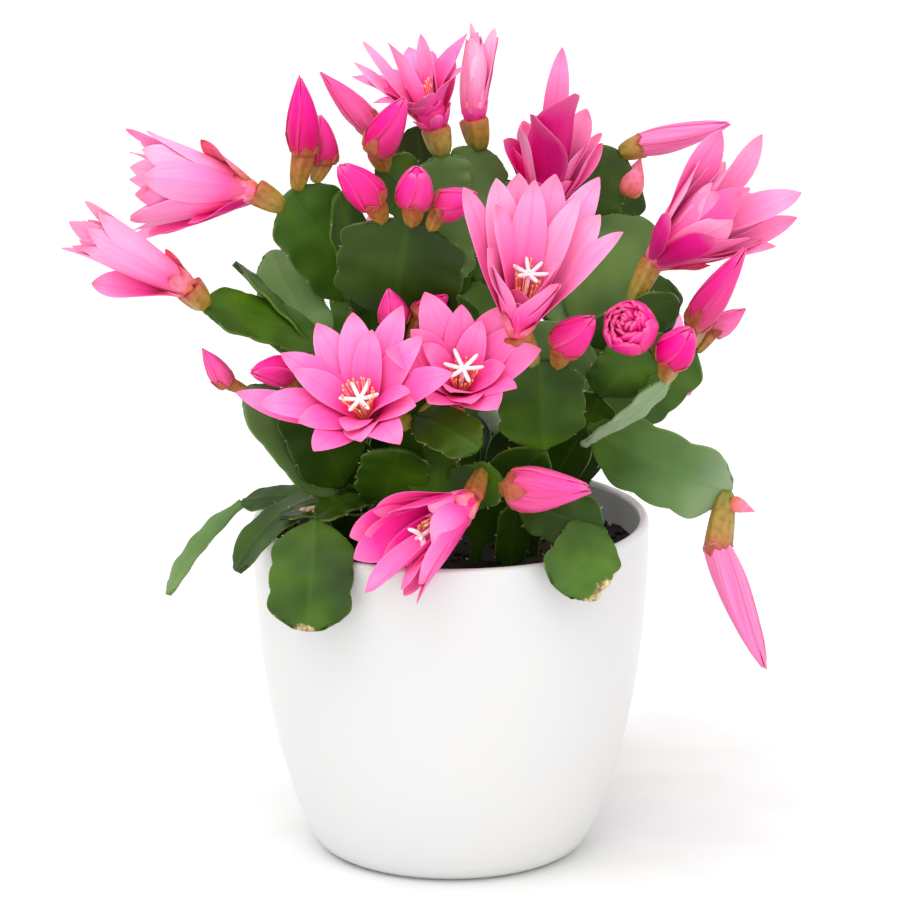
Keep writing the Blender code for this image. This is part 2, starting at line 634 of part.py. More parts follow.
# Each flower: the stem and pad that carry it, where on the pad its ovary stands (along, aside), where
# its base is seen and which way it points, all in mm, and what it is: its whorls, spread, roll and length
# for a bloom, and its radius for a bud, which ends at the place that it points to.
FLOWERS = {
    "bloom_far_left": ("stem_left", "arm", 0.97, 0, (-91, 79, -36), (-132, 95, -46),
                       ("narrow", 10, 0, 47)),
    "bloom_upper_left": ("stem_upper_left", "shield", 0.93, -0.4, (-68, 113, -13), (-108, 116, -17),
                         ("open", 21, 8, 46)),
    "bloom_top": ("stem_top", "left", 0.97, 0, (-5, 135, 2), (-19, 166, 2), ("open", 17, 62, 30)),
    "bloom_top_narrow": ("stem_top", "right", 0.95, -0.2, (8, 138, 13), (8, 168, 13), ("narrow", 6, 60, 29)),
    "bloom_centre": ("stem_centre", "paddle", 0.96, -0.2, (23, 63, -54), (31, 102, -74), ("wide", 28, 0, 58)),
    "bloom_rear": ("stem_top_right", "back", 0.95, -0.5, (32, 105, 10), (37, 144, 4), ("open", 22, 24, 47)),
    "bloom_right": ("stem_top_right", "ledge", 0.62, -0.7, (70, 88, -4), (111, 118, -16),
                    ("open", 24, 20, 56)),
    "bloom_left_star": ("stem_front", "back", 0.97, -0.4, (-28.5, 31, -59), (-34, 46, -74),
                        ("star", 52, 30, 39)),
    "bloom_right_star": ("stem_front", "back", 0.97, 0.5, (2.6, 40, -46), (4.6, 53, -61),
                         ("star", 38, 30, 36)),
    "bloom_low": ("stem_front", "rail", 0.90, -0.7, (8, 6, -69), (-23, -17, -82), ("open", 17, 20, 44)),
    "bloom_back_high": ("stem_back", "fan", 0.97, 0, (2, 112, 64), (0, 124, 94), ("wide", 34, 0, 36)),
    "bloom_back_left": ("stem_back_left", "fan", 0.97, 0, (-30, 91, 86), (-42, 96, 114),
                        ("wide", 27, 10, 40)),
    "bloom_back_right": ("stem_back_right", "wing", 0.97, 0, (66, 50, 84), (74, 56, 114),
                         ("wide", 25, 20, 40)),
    "bloom_back_low": ("stem_back", "hang", 0.97, 0, (24, -2, 99), (27, -34, 116), ("narrow", 16, 30, 38)),
    "bud_half_open": ("stem_front", "rail", 0.97, 0.4, (20, 9, -66), (49, 9, -74), ("bud", 7.0)),
    "bud_long_right": ("stem_top_right", "crest", 0.96, 0.6, (65, 129, 20), (98, 137, 16), ("bud", 4.8)),
    "bud_hanging": ("stem_right", "wing", 0.97, 0, (92, -9, -38), (110, -54, -42), ("bud", 6.2)),
    "bud_tall": ("stem_upper_left", "shield", 0.97, 0.3, (-51, 126, -14), (-53, 154, -18), ("bud", 5.6)),
    "bud_tall_dark": ("stem_upper_left", "shield", 0.93, 0.8, (-44, 122, -6), (-46, 140, -4), ("bud", 4.4)),
    "bud_slant": ("stem_top", "sprig", 0.95, 0, (-26, 134, -1), (-46, 155, -4), ("bud", 4.4)),
    "bud_upright": ("stem_top", "sprig", 0.90, 0, (-27, 126, -16), (-16, 146, -17), ("bud", 5.4)),
    "bud_round_left": ("stem_middle_left", "round", 0.95, -0.55, (-26, 109, -44), (-39, 122, -52),
                       ("bud", 5.4)),
    "bud_round_middle": ("stem_middle_left", "round", 0.97, 0.1, (-13, 108, -45), (-12, 121, -50),
                         ("bud", 5.6)),
    "bud_round_right": ("stem_middle_left", "round", 0.95, 0.5, (-5, 107, -42), (9, 112, -45),
                        ("bud", 4.8)),
    "bud_behind_star": ("stem_middle_left", "prop", 0.97, -0.4, (-19, 66, -43), (-22, 79, -42), ("bud", 4.6)),
    "bud_between_stars": ("stem_middle_left", "prop", 0.97, 0.5, (-12, 68, -42), (-1, 77, -40), ("bud", 4.2)),
    "bud_left": ("stem_left_low", "dark", 0.97, -0.4, (-56, 50, -34), (-70, 50, -42), ("bud", 4.6)),
    "bud_far_left": ("stem_left_low", "pale", 0.97, 0, (-78, 45, -36), (-87, 58, -38), ("bud", 3.6)),
    "bud_centre": ("stem_centre", "paddle", 0.93, 0.5, (38, 58, -56), (50, 69, -62), ("bud", 5.8)),
    "bud_rosette": ("stem_right", "paddle", 0.97, 0, (64, 64, -52), (60, 68, -66), ("bud", 8.2)),
    "bud_right_long": ("stem_right_rear", "wing", 0.95, 0.2, (85, 66, -22), (103, 93, -36), ("bud", 5.6)),
    "bud_right_tip": ("stem_right_rear", "wing", 0.97, 0.6, (91, 64, -12), (103, 72, -12), ("bud", 3.8)),
    "bud_right_low": ("stem_right", "strip", 0.97, 0, (76, 54, -52), (84, 65, -60), ("bud", 6.0)),
    "bud_back_middle": ("stem_back_left", "side", 0.97, 0, (-52, 51, 50), (-56, 68, 56), ("bud", 5.0)),
    "bud_back_right": ("stem_back_right", "fan", 0.97, 0, (40, 102, 72), (42, 116, 88), ("bud", 5.4)),
    "bud_back_low": ("stem_back_right", "low", 0.97, 0, (66, 23, 70), (72, 20, 90), ("bud", 5.0)),
}
OVARY_SHARE = {"bud_far_left": 0.6, "bud_right_tip": 0.6, "bud_behind_star": 0.7, "bud_between_stars": 0.7,
               "bud_left": 0.8, "bud_tall_dark": 0.8, "bud_round_right": 0.8, "bud_rosette": 0.8}

# The blooms that show their stigma, and how far it stands out of the tube, in mm
STARS = {"bloom_centre": 26, "bloom_left_star": 15, "bloom_right_star": 19, "bloom_low": 33}

COLOURS = {"bloom_rear": MAGENTA, "bloom_low": LIGHT_PINK, "bloom_centre": LIGHT_PINK,
           "bloom_top": LIGHT_PINK}


def build_flowers(seats):
    """Makes every bloom and bud on its ovary, and the white stigmas of the blooms that show them."""
    for name, (_, _, _, _, _, tip, kind) in FLOWERS.items():
        head = seen(*tip)
        axis = (head - seats[name]).normalized()
        foot = seats[name] + axis * CLEARANCE
        if kind[0] == "bud":
            bud(name, foot, head, kind[1])
            continue
        bloom(name, foot, head, *kind, COLOURS.get(name, PINK))
        if name in STARS:
            rise = axis * STIGMA_FOOT * MM
            stigma(name.replace("bloom", "stigma"), foot + rise, axis, STARS[name] - STIGMA_FOOT)


clear_scene()
PLANT = new_collection("easter_cactus")
CUTTERS = new_collection("cutters")
make_pot()
make_soil([root for root, _ in STEMS.values()])
build_flowers(build_stems())
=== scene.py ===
import math
import random

import bpy
import numpy as np
from mathutils import Matrix, Vector, noise


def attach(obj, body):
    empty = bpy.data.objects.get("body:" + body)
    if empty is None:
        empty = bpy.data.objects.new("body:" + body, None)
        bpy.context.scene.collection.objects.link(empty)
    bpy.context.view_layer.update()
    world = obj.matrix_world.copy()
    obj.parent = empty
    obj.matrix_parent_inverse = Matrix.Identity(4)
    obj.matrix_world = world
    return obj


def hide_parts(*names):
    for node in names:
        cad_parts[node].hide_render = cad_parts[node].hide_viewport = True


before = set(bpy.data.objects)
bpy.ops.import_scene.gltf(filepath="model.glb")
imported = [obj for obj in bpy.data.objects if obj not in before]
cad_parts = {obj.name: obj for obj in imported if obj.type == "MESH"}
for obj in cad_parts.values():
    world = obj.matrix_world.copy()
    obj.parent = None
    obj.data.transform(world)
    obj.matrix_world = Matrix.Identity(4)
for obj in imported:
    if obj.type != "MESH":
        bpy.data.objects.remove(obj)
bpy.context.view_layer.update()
scene = bpy.context.scene

# The camera stands 2 m in front of the plant, a little above the pot's rim, and looks down at it.
# The places of pads and flowers further on are read through the same eye, in mm at the pot's axis.
MM = 0.001
POT_HEIGHT = 0.120
EYE_PITCH = math.radians(15.15)
EYE_DISTANCE = 2.0
EYE_RISE = 0.0235
VIEW_HALF_WIDTH = 0.1575
VIEW_ASIDE = 0.35 * MM
VIEW_BELOW = 0.9 * MM
SIDEWAYS = Vector((1, 0, 0))
AWAY = Vector((0, math.cos(EYE_PITCH), -math.sin(EYE_PITCH)))
RISING = Vector((0, math.sin(EYE_PITCH), math.cos(EYE_PITCH)))
RIM_CENTRE = Vector((0, 0, POT_HEIGHT))
EYE = RIM_CENTRE + RISING * EYE_RISE - AWAY * EYE_DISTANCE

camera = bpy.data.objects.new("camera", bpy.data.cameras.new("camera"))
camera.location = EYE - SIDEWAYS * VIEW_ASIDE - RISING * VIEW_BELOW
camera.rotation_euler = (math.pi / 2 - EYE_PITCH, 0, 0)
camera.data.angle = 2 * math.atan(VIEW_HALF_WIDTH / EYE_DISTANCE)
scene.collection.objects.link(camera)
scene.camera = camera
scene.view_settings.view_transform = "Standard"

# The floor and the light: a seamless sheet of white paper in a bright studio, with a broad soft light
# overhead at the left, a weaker one in front and white walls all round.
FLOOR_HALF = 6.0
FLOOR_DROP = 0.1 * MM
WALLS_BRIGHTNESS = 0.94
# Each light: the way that it comes from, how broad it looks in degrees, and its strength
LIGHTS = {"key": ((-0.34, -0.32, 1.30), 50, 1.30), "front": ((0.15, -1.20, 0.60), 60, 0.80)}


def linear(hex_colour):
    """The linear colour of an sRGB hex value."""
    parts = [int(hex_colour[n:n + 2], 16) / 255 for n in (1, 3, 5)]
    return (*[p / 12.92 if p <= 0.04045 else ((p + 0.055) / 1.055) ** 2.4 for p in parts], 1)


def new_material(name):
    """A new material and its node tree."""
    material = bpy.data.materials.new(name)
    material.use_nodes = True
    return material, material.node_tree


def add_node(tree, kind, inputs=(), stops=(), out=0, **settings):
    """Adds a shader node with its settings and links, and gives one of its outputs.

    The inputs are outputs to link, values or hex colours, in the node's own order or by name. The stops are
    the places and colours of a ramp. A material has its Principled shader from the start.
    """
    node = tree.nodes["Principled BSDF"] if kind == "BsdfPrincipled" else tree.nodes.new("ShaderNode" + kind)
    for name, value in settings.items():
        setattr(node, name, value)
    for key, value in inputs.items() if isinstance(inputs, dict) else enumerate(inputs):
        if isinstance(value, bpy.types.NodeSocket):
            tree.links.new(value, node.inputs[key])
        else:
            node.inputs[key].default_value = linear(value) if isinstance(value, str) else value
    for number, (position, colour) in enumerate(stops):
        elements = node.color_ramp.elements
        stop = elements[number] if number < 2 else elements.new(position)
        stop.position = position
        stop.color = linear(colour)
    return node.outputs[out]


white_paper, tree = new_material("white_paper")
fibres = add_node(tree, "TexNoise", {"Scale": 400.0, "Detail": 3.0})
tint = add_node(tree, "ValToRGB", [fibres], [(0.3, "#eaeae9"), (0.7, "#efefee")])
add_node(tree, "BsdfPrincipled", {"Base Color": tint, "Roughness": 0.9})
sheet = bpy.data.meshes.new("floor")
corners = ((-1, -1), (1, -1), (1, 1), (-1, 1))
sheet.from_pydata([(x * FLOOR_HALF, y * FLOOR_HALF, -FLOOR_DROP) for x, y in corners], [], [(0, 1, 2, 3)])
sheet.materials.append(white_paper)
floor = bpy.data.objects.new("floor", sheet)
scene.collection.objects.link(floor)

world = bpy.data.worlds.new("studio")
world.use_nodes = True
walls = world.node_tree.nodes["Background"]
walls.inputs["Color"].default_value = (1, 1, 1, 1)
walls.inputs["Strength"].default_value = WALLS_BRIGHTNESS
scene.world = world
for name, (way, angle, power) in LIGHTS.items():
    light = bpy.data.objects.new(name, bpy.data.lights.new(name, "SUN"))
    light.data.angle = math.radians(angle)
    light.data.energy = power
    light.rotation_euler = Vector(way).to_track_quat("Z", "Y").to_euler()
    scene.collection.objects.link(light)

# The pot: a plain cover pot of white stoneware, cast with one thin wall that swells from a narrow foot.
# It was dipped in a satin white glaze, which rounds its lip.
RIM_RADIUS = 0.0693
FOOT_RADIUS = 0.0445
WALL = 0.0034
POT_FLOOR = 0.006
POT_SIDES = 144
CENTRE = 0.0002


def ring_faces(rings, sides):
    """Faces of a closed solid of rings of points, with one face at each end."""
    number = np.arange(rings * sides).reshape(rings, sides)
    following = np.roll(number, -1, axis=1)
    faces = np.stack([number[:-1], following[:-1], following[1:], number[1:]], -1).reshape(-1, 4).tolist()
    return faces + [number[0, ::-1].tolist(), number[-1].tolist()]


def turned(profile, sides, foot=Vector((0, 0, 0)), axis=Vector((0, 0, 1)), lobes=0, depth=0):
    """Points and faces of a closed solid turned from a profile of (radius, height), and how far along each is.

    The profile runs up the outside. The solid may have shallow lobes round its axis.
    """
    first = axis.orthogonal().normalized() if abs(axis.z) < 0.999 else SIDEWAYS
    radii, heights = np.array(profile).T
    angles = np.arange(sides) * math.tau / sides
    reach = radii[:, None] * (1 + depth * np.cos(lobes * angles))
    points = (np.array(foot) + (reach * np.cos(angles))[..., None] * np.array(first)
              + (reach * np.sin(angles))[..., None] * np.array(axis.cross(first))
              + heights[:, None, None] * np.array(axis))
    along = np.repeat(np.linspace(0, 1, len(radii)), sides)
    return points.reshape(-1, 3), ring_faces(len(radii), sides), along


class Piece:
    """Gathers the points and faces of one visible piece, with the marks that its materials read.

    `outer` is 1 on the outer face of a petal, and on a pad it is how much of a scar is there.
    """

    MARKS = ("along", "across", "tone", "outer")

    def __init__(self):
        self.points, self.faces, self.looks = [], [], []
        self.marks = {mark: [] for mark in self.MARKS}
        self.count = 0

    def add(self, points, faces, look=0, **marks):
        self.points.append(points)
        self.faces += [[corner + self.count for corner in face] for face in faces]
        self.looks += [look] * len(faces)
        for mark, values in self.marks.items():
            values.append(np.broadcast_to(np.asarray(marks.get(mark, 0.0), float), len(points)))
        self.count += len(points)

    def make(self, name, materials, slot, *nodes):
        mesh = bpy.data.meshes.new(name)
        mesh.from_pydata(np.concatenate(self.points).tolist(), [], self.faces)
        for mark, values in self.marks.items():
            layer = mesh.attributes.new(mark, "FLOAT", "POINT")
            layer.data.foreach_set("value", np.concatenate(values))
        for material in materials:
            mesh.materials.append(material)
        mesh.polygons.foreach_set("material_index", self.looks)
        mesh.shade_smooth()
        item = bpy.data.objects.new(name, mesh)
        scene.collection.objects.link(item)
        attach(item, "root")
        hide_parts(*nodes)


def pot_radius(height):
    """The pot's outer radius: a wall that swells from the foot and stands nearly upright at the rim."""
    share = min(max(height / POT_HEIGHT, 0), 1)
    return FOOT_RADIUS + (RIM_RADIUS - FOOT_RADIUS) * math.sin(share ** 0.74 * math.pi / 2) ** 0.92


# The profile: under the rounded foot, up the outside, over the lip, down the inside and over the floor
lip = WALL / 2
foot_edge = [(CENTRE, 0), (FOOT_RADIUS - 0.004, 0), (FOOT_RADIUS - 0.0012, 0.0002),
             (FOOT_RADIUS + 0.0002, 0.0010)]
outside = [(pot_radius(height), height) for height in np.linspace(0.0026, POT_HEIGHT - lip, 34)]
crown = [(RIM_RADIUS - lip + lip * math.cos(turn), POT_HEIGHT - lip + lip * math.sin(turn))
         for turn in np.linspace(0.3, math.pi - 0.2, 9)]
inside = [(pot_radius(height) - WALL, height) for height in np.linspace(POT_HEIGHT - lip, 0.010, 22)]
pot_floor = [(FOOT_RADIUS - 0.006, POT_FLOOR), (CENTRE, POT_FLOOR)]
pot = Piece()
pot.add(*turned(foot_edge + outside + crown + inside + pot_floor, POT_SIDES)[:2])

# Satin glaze on stoneware: off-white, with hardly seen cool and warm clouds 60 mm across, and the soft
# unevenness of a dipped coat about 12 mm across.
glaze, tree = new_material("satin_white_glaze")
place = add_node(tree, "TexCoord", out="Object")
clouds = add_node(tree, "TexNoise", {"Vector": place, "Scale": 16.0, "Detail": 2.0})
tint = add_node(tree, "ValToRGB", [clouds], [(0.35, "#d8d9db"), (0.65, "#dbdad8")])
dip = add_node(tree, "TexNoise", {"Vector": place, "Scale": 80.0, "Detail": 2.0})
swell = add_node(tree, "Bump", {"Height": dip, "Strength": 0.12, "Distance": 0.0004})
add_node(tree, "BsdfPrincipled", {"Base Color": tint, "Normal": swell, "Roughness": 0.30, "IOR": 1.5,
                                  "Coat Weight": 0.25, "Coat Roughness": 0.12})
pot.make("pot_glazed", [glaze], "glazed_pot", "pot")

# The soil: dark moist peat with crumbs, bark and a few pale bits, filled in to a little below the rim.
SOIL_LEVEL = 0.108
SOIL_LUMPS = 0.0016
SOIL_GRAIN = 0.0007
SOIL_DEPTH = 0.012
SOIL_SIDES = 120
CRUMBS = 520
CRUMB_SIZE = 2.0 * MM
draw = random.Random(4)
soil_radius = pot_radius(SOIL_LEVEL) - WALL - 0.0002


def soil_height(x, y):
    """The height of the lumpy soil at a place."""
    broad = noise.noise(Vector((x, y, 0)) * 70)
    fine = noise.noise(Vector((x, y, 0.1)) * 330)
    return SOIL_LEVEL + SOIL_LUMPS * broad + SOIL_GRAIN * fine


rings = [(CENTRE, SOIL_LEVEL - SOIL_DEPTH), (soil_radius - 0.001, SOIL_LEVEL - SOIL_DEPTH)]
rings += [(radius, SOIL_LEVEL) for radius in np.linspace(soil_radius, CENTRE, 46)]
points, faces, _ = turned(rings, SOIL_SIDES)
for point in points[2 * SOIL_SIDES:]:
    point[2] = soil_height(point[0], point[1])
soil = Piece()
soil.add(points, faces, tone=0.15)

# A crumb starts from the 12 corners and 20 faces of an icosahedron
golden = (1 + math.sqrt(5)) / 2
crumb = np.array([(a, b * golden, 0) for a in (-1, 1) for b in (-1, 1)])
crumb = np.concatenate([np.roll(crumb, turn, axis=1) for turn in range(3)])
crumb /= np.linalg.norm(crumb[0])
near = np.linalg.norm(crumb[:, None] - crumb[None], axis=2) < 1.2
crumb_faces = []
for a in range(12):
    for b in range(a + 1, 12):
        for c in range(b + 1, 12):
            if near[a, b] and near[b, c] and near[a, c]:
                out = np.cross(crumb[b] - crumb[a], crumb[c] - crumb[a]).dot(crumb[a]) > 0
                crumb_faces.append([a, b, c] if out else [a, c, b])
for _ in range(CRUMBS):
    radius = soil_radius * 0.985 * math.sqrt(draw.random())
    angle = draw.random() * math.tau
    x, y = radius * math.cos(angle), radius * math.sin(angle)
    size = draw.uniform(0.5, 1.0) ** 2 * CRUMB_SIZE
    pale = draw.random() > 0.93
    shape = crumb * [draw.uniform(0.5, 1.2) for _ in range(3)] * (1 + 0.3 * np.sin(7 * crumb[:, ::-1] + angle))
    turn = np.array(Matrix.Rotation(draw.random() * 6, 3, "Z") @ Matrix.Rotation(draw.random() * 6, 3, "X"))
    centre = (x, y, soil_height(x, y) + size * 0.3)
    soil.add(shape @ turn * size * (0.55 if pale else 1) + centre, crumb_faces,
             tone=draw.uniform(0.8, 1) if pale else draw.uniform(0, 0.4))

# Peat: nearly black brown, rough and matt, with crumbs about 1 mm across; bark and pale grit by tone.
peat, tree = new_material("damp_peat")
mark = add_node(tree, "Attribute", out="Fac", attribute_name="tone")
place = add_node(tree, "TexCoord", out="Object")
grain = add_node(tree, "TexNoise", {"Vector": place, "Scale": 900.0, "Detail": 4.0})
blend = add_node(tree, "Math", (grain, 0.22, mark), operation="MULTIPLY_ADD")
tint = add_node(tree, "ValToRGB", [blend], [(0.15, "#0d0907"), (0.4, "#2a1e16"), (0.62, "#3d2b1d"),
                                            (0.85, "#8b7658"), (1.1, "#cdbfa6")])
rough = add_node(tree, "Bump", {"Height": grain, "Strength": 0.8, "Distance": 0.0006})
add_node(tree, "BsdfPrincipled", {"Base Color": tint, "Normal": rough, "Roughness": 0.92, "IOR": 1.4})
soil.make("soil_peat", [peat], "potting_soil", "soil")

# The leafy stems: chains of flat green pads with crenate margins, each pad grown from the tip of the one
# before. They stand rooted in the soil. In a notch of the margin sits a tiny tuft of cream bristles.
ROOT_DEPTH = 6.0
PAD_THICKNESS = 2.1
NECK_HALF_WIDTH = 2.1
STALK_RISE = 0.42
STALK_SHARE = 0.24
PAD_CURL = 0.10
FORK_AT = 0.90
FORK_ASIDE = 0.4
MARGIN_HALF_THICKNESS = 0.36
TEETH_PITCH = 0.25
FIRST_NOTCH = 1 / 6
NOTCH_DEPTH = 0.10
PAD_ROWS = 37
PAD_COLUMNS = np.array((-1, -0.985, -0.92, -0.78, -0.56, -0.3, -0.1, 0, 0.1, 0.3, 0.56, 0.78, 0.92, 0.985, 1))
BRISTLES = 3
BRISTLE_RADII = (0.09, 0.03)


def seen(across, up, back):
    """The point that looks to be `across` and `up` mm from the rim's centre and lies `back` mm behind it."""
    mark = RIM_CENTRE + (SIDEWAYS * across + RISING * up) * MM
    sight = mark - EYE
    return EYE + sight * ((back * MM - EYE.y) / sight.y)


def across_axis(axis, turn):
    """The direction that a flat blade faces: towards the eye, turned about the blade's own axis."""
    facing = -AWAY - axis * (-AWAY).dot(axis)
    if facing.length < 0.15:
        facing = RISING - axis * RISING.dot(axis)
    return Matrix.Rotation(math.radians(turn), 3, axis) @ facing.normalized()


def add_blade(piece, grid, half_thick, look=0, **marks):
    """Adds a thin closed blade about a middle surface of rows of points, with its marks on both faces."""
    rows, columns = grid.shape[:2]
    normal = np.cross(np.gradient(grid, axis=1), np.gradient(grid, axis=0))
    normal /= np.linalg.norm(normal, axis=2, keepdims=True) + 1e-15
    lift = normal * np.broadcast_to(half_thick, (rows, columns))[..., None]
    points = np.concatenate([(grid + lift).reshape(-1, 3), (grid - lift).reshape(-1, 3)])
    count = rows * columns
    number = np.arange(count).reshape(rows, columns)
    front = np.stack([number[:-1, :-1], number[:-1, 1:], number[1:, 1:], number[1:, :-1]], -1).reshape(-1, 4)
    ring = np.concatenate([number[0, :-1], number[:-1, -1], number[-1, :0:-1], number[:0:-1, 0]])
    following = np.roll(ring, -1)
    rim = np.stack([ring + count, following + count, following, ring], 1)
    piece.add(points, np.concatenate([front, front[:, ::-1] + count, rim]).tolist(), look,
              **{mark: np.broadcast_to(values, (2, rows, columns)).ravel() for mark, values in marks.items()})


def rod(places, radii, sides):
    """Points and faces of a thin closed rod along a row of places, with its radii in mm."""
    places = np.array([tuple(p) for p in places])
    way = np.gradient(places, axis=0)
    way /= np.linalg.norm(way, axis=1, keepdims=True)
    helper = np.array(Vector(places[-1] - places[0]).orthogonal().normalized())
    first = np.cross(way, helper)
    first /= np.linalg.norm(first, axis=1, keepdims=True)
    second = np.cross(way, first)
    angles = (np.arange(sides) * math.tau / sides)[None, :, None]
    around = first[:, None] * np.cos(angles) + second[:, None] * np.sin(angles)
    points = places[:, None] + around * (np.array(radii) * MM)[:, None, None]
    return points.reshape(-1, 3), ring_faces(len(places), sides)


def curve_at(curve, along):
    """Places and directions along a smooth curve from its start, past its middle, to its end."""
    start, middle, end = (np.array(point) for point in curve)
    t = np.asarray(along)[:, None]
    places = start * (1 - t) ** 2 + middle * 2 * t * (1 - t) + end * t ** 2
    ways = (middle - start) * (1 - t) + (end - middle) * t
    return places, ways / np.linalg.norm(ways, axis=1, keepdims=True)


class Pad:
    """One flat segment of a leafy stem, from its narrow base to its blunt tip or to a narrow neck."""

    def __init__(self, base, tip, width, turn, bend, stalked, goes_on, grey=None, fade=0):
        self.stalked, self.goes_on, self.grey, self.fade = stalked, goes_on, grey, fade
        axis = (tip - base).normalized()
        facing = across_axis(axis, turn)
        self.side = axis.cross(facing)
        self.width = width * MM
        self.length = (tip - base).length
        middle = (base + tip) / 2 + facing * bend * MM
        if stalked:
            middle = base + Vector((0, 0, self.length * STALK_RISE))
        self.curve = (base, middle, tip)

    def fullness(self, along):
        """The share of its full width that the pad has there, without its notches."""
        t = np.clip((along - STALK_SHARE) / (1 - STALK_SHARE), 0, 1) if self.stalked else along
        rise = np.sin(math.pi / 2 * np.clip(t / 0.34, 0, 1)) ** 0.8
        reach = 0.20 if self.goes_on else 0.26
        fall = np.cos(math.pi / 2 * np.clip((t - 0.80) / reach, 0, 1)) ** 0.7
        return rise * fall

    def at(self, along, aside):
        """A place on the pad: along from 0 to 1, and aside from -1 to 1, its edges."""
        places, _ = curve_at(self.curve, [along])
        reach = aside * float(self.fullness(np.array([along]))[0]) * self.width / 2
        return Vector(places[0]) + self.side * reach

    def surface(self, chance):
        """The pad's middle surface, its half thickness, and its rows' and columns' shares."""
        t = np.linspace(0, 1, PAD_ROWS)
        u = PAD_COLUMNS[None]
        places, ways = curve_at(self.curve, t)
        facing = np.cross(np.array(self.side), ways)
        facing /= np.linalg.norm(facing, axis=1, keepdims=True)
        square = np.cross(ways, facing)
        half = np.maximum(self.width / 2 * self.fullness(t), NECK_HALF_WIDTH * MM)[:, None]
        t = t[:, None]
        shift = FIRST_NOTCH + chance.uniform(-0.02, 0.02) * np.sign(u)
        teeth = np.abs(np.sin(math.pi * (t - shift) / TEETH_PITCH)) ** 0.5
        body = np.clip(half / (self.width / 2) * 1.4 - 0.4, 0, 1)
        reach = half * (1 - NOTCH_DEPTH * (1 - teeth) * u ** 2 * body)
        wave = np.sin(math.tau * (t / TEETH_PITCH + chance.random()) + u) * u ** 2 * 0.35 * MM
        swell = np.sin(3.1 * u + chance.random() * 6) * np.sin(5 * t + chance.random() * 6) * 0.4 * MM
        lift = PAD_CURL * reach * u ** 2 + (wave + swell) * body
        back = self.length * 0.07 * np.abs(u) ** 3 * t ** 8 * (not self.goes_on)
        grid = (places[:, None] + square[:, None] * (reach * u)[..., None] + facing[:, None] * lift[..., None]
                - ways[:, None] * back[..., None])
        middle = PAD_THICKNESS / 2 * (1.25 - 0.45 * t)
        crown = np.clip(1 - u ** 2, 0, 1) ** 0.6
        rib = 0.30 * np.exp(-(u / 0.09) ** 2)
        thick = (MARGIN_HALF_THICKNESS + (middle - MARGIN_HALF_THICKNESS) * crown + rib) * MM
        return grid, thick, t, u


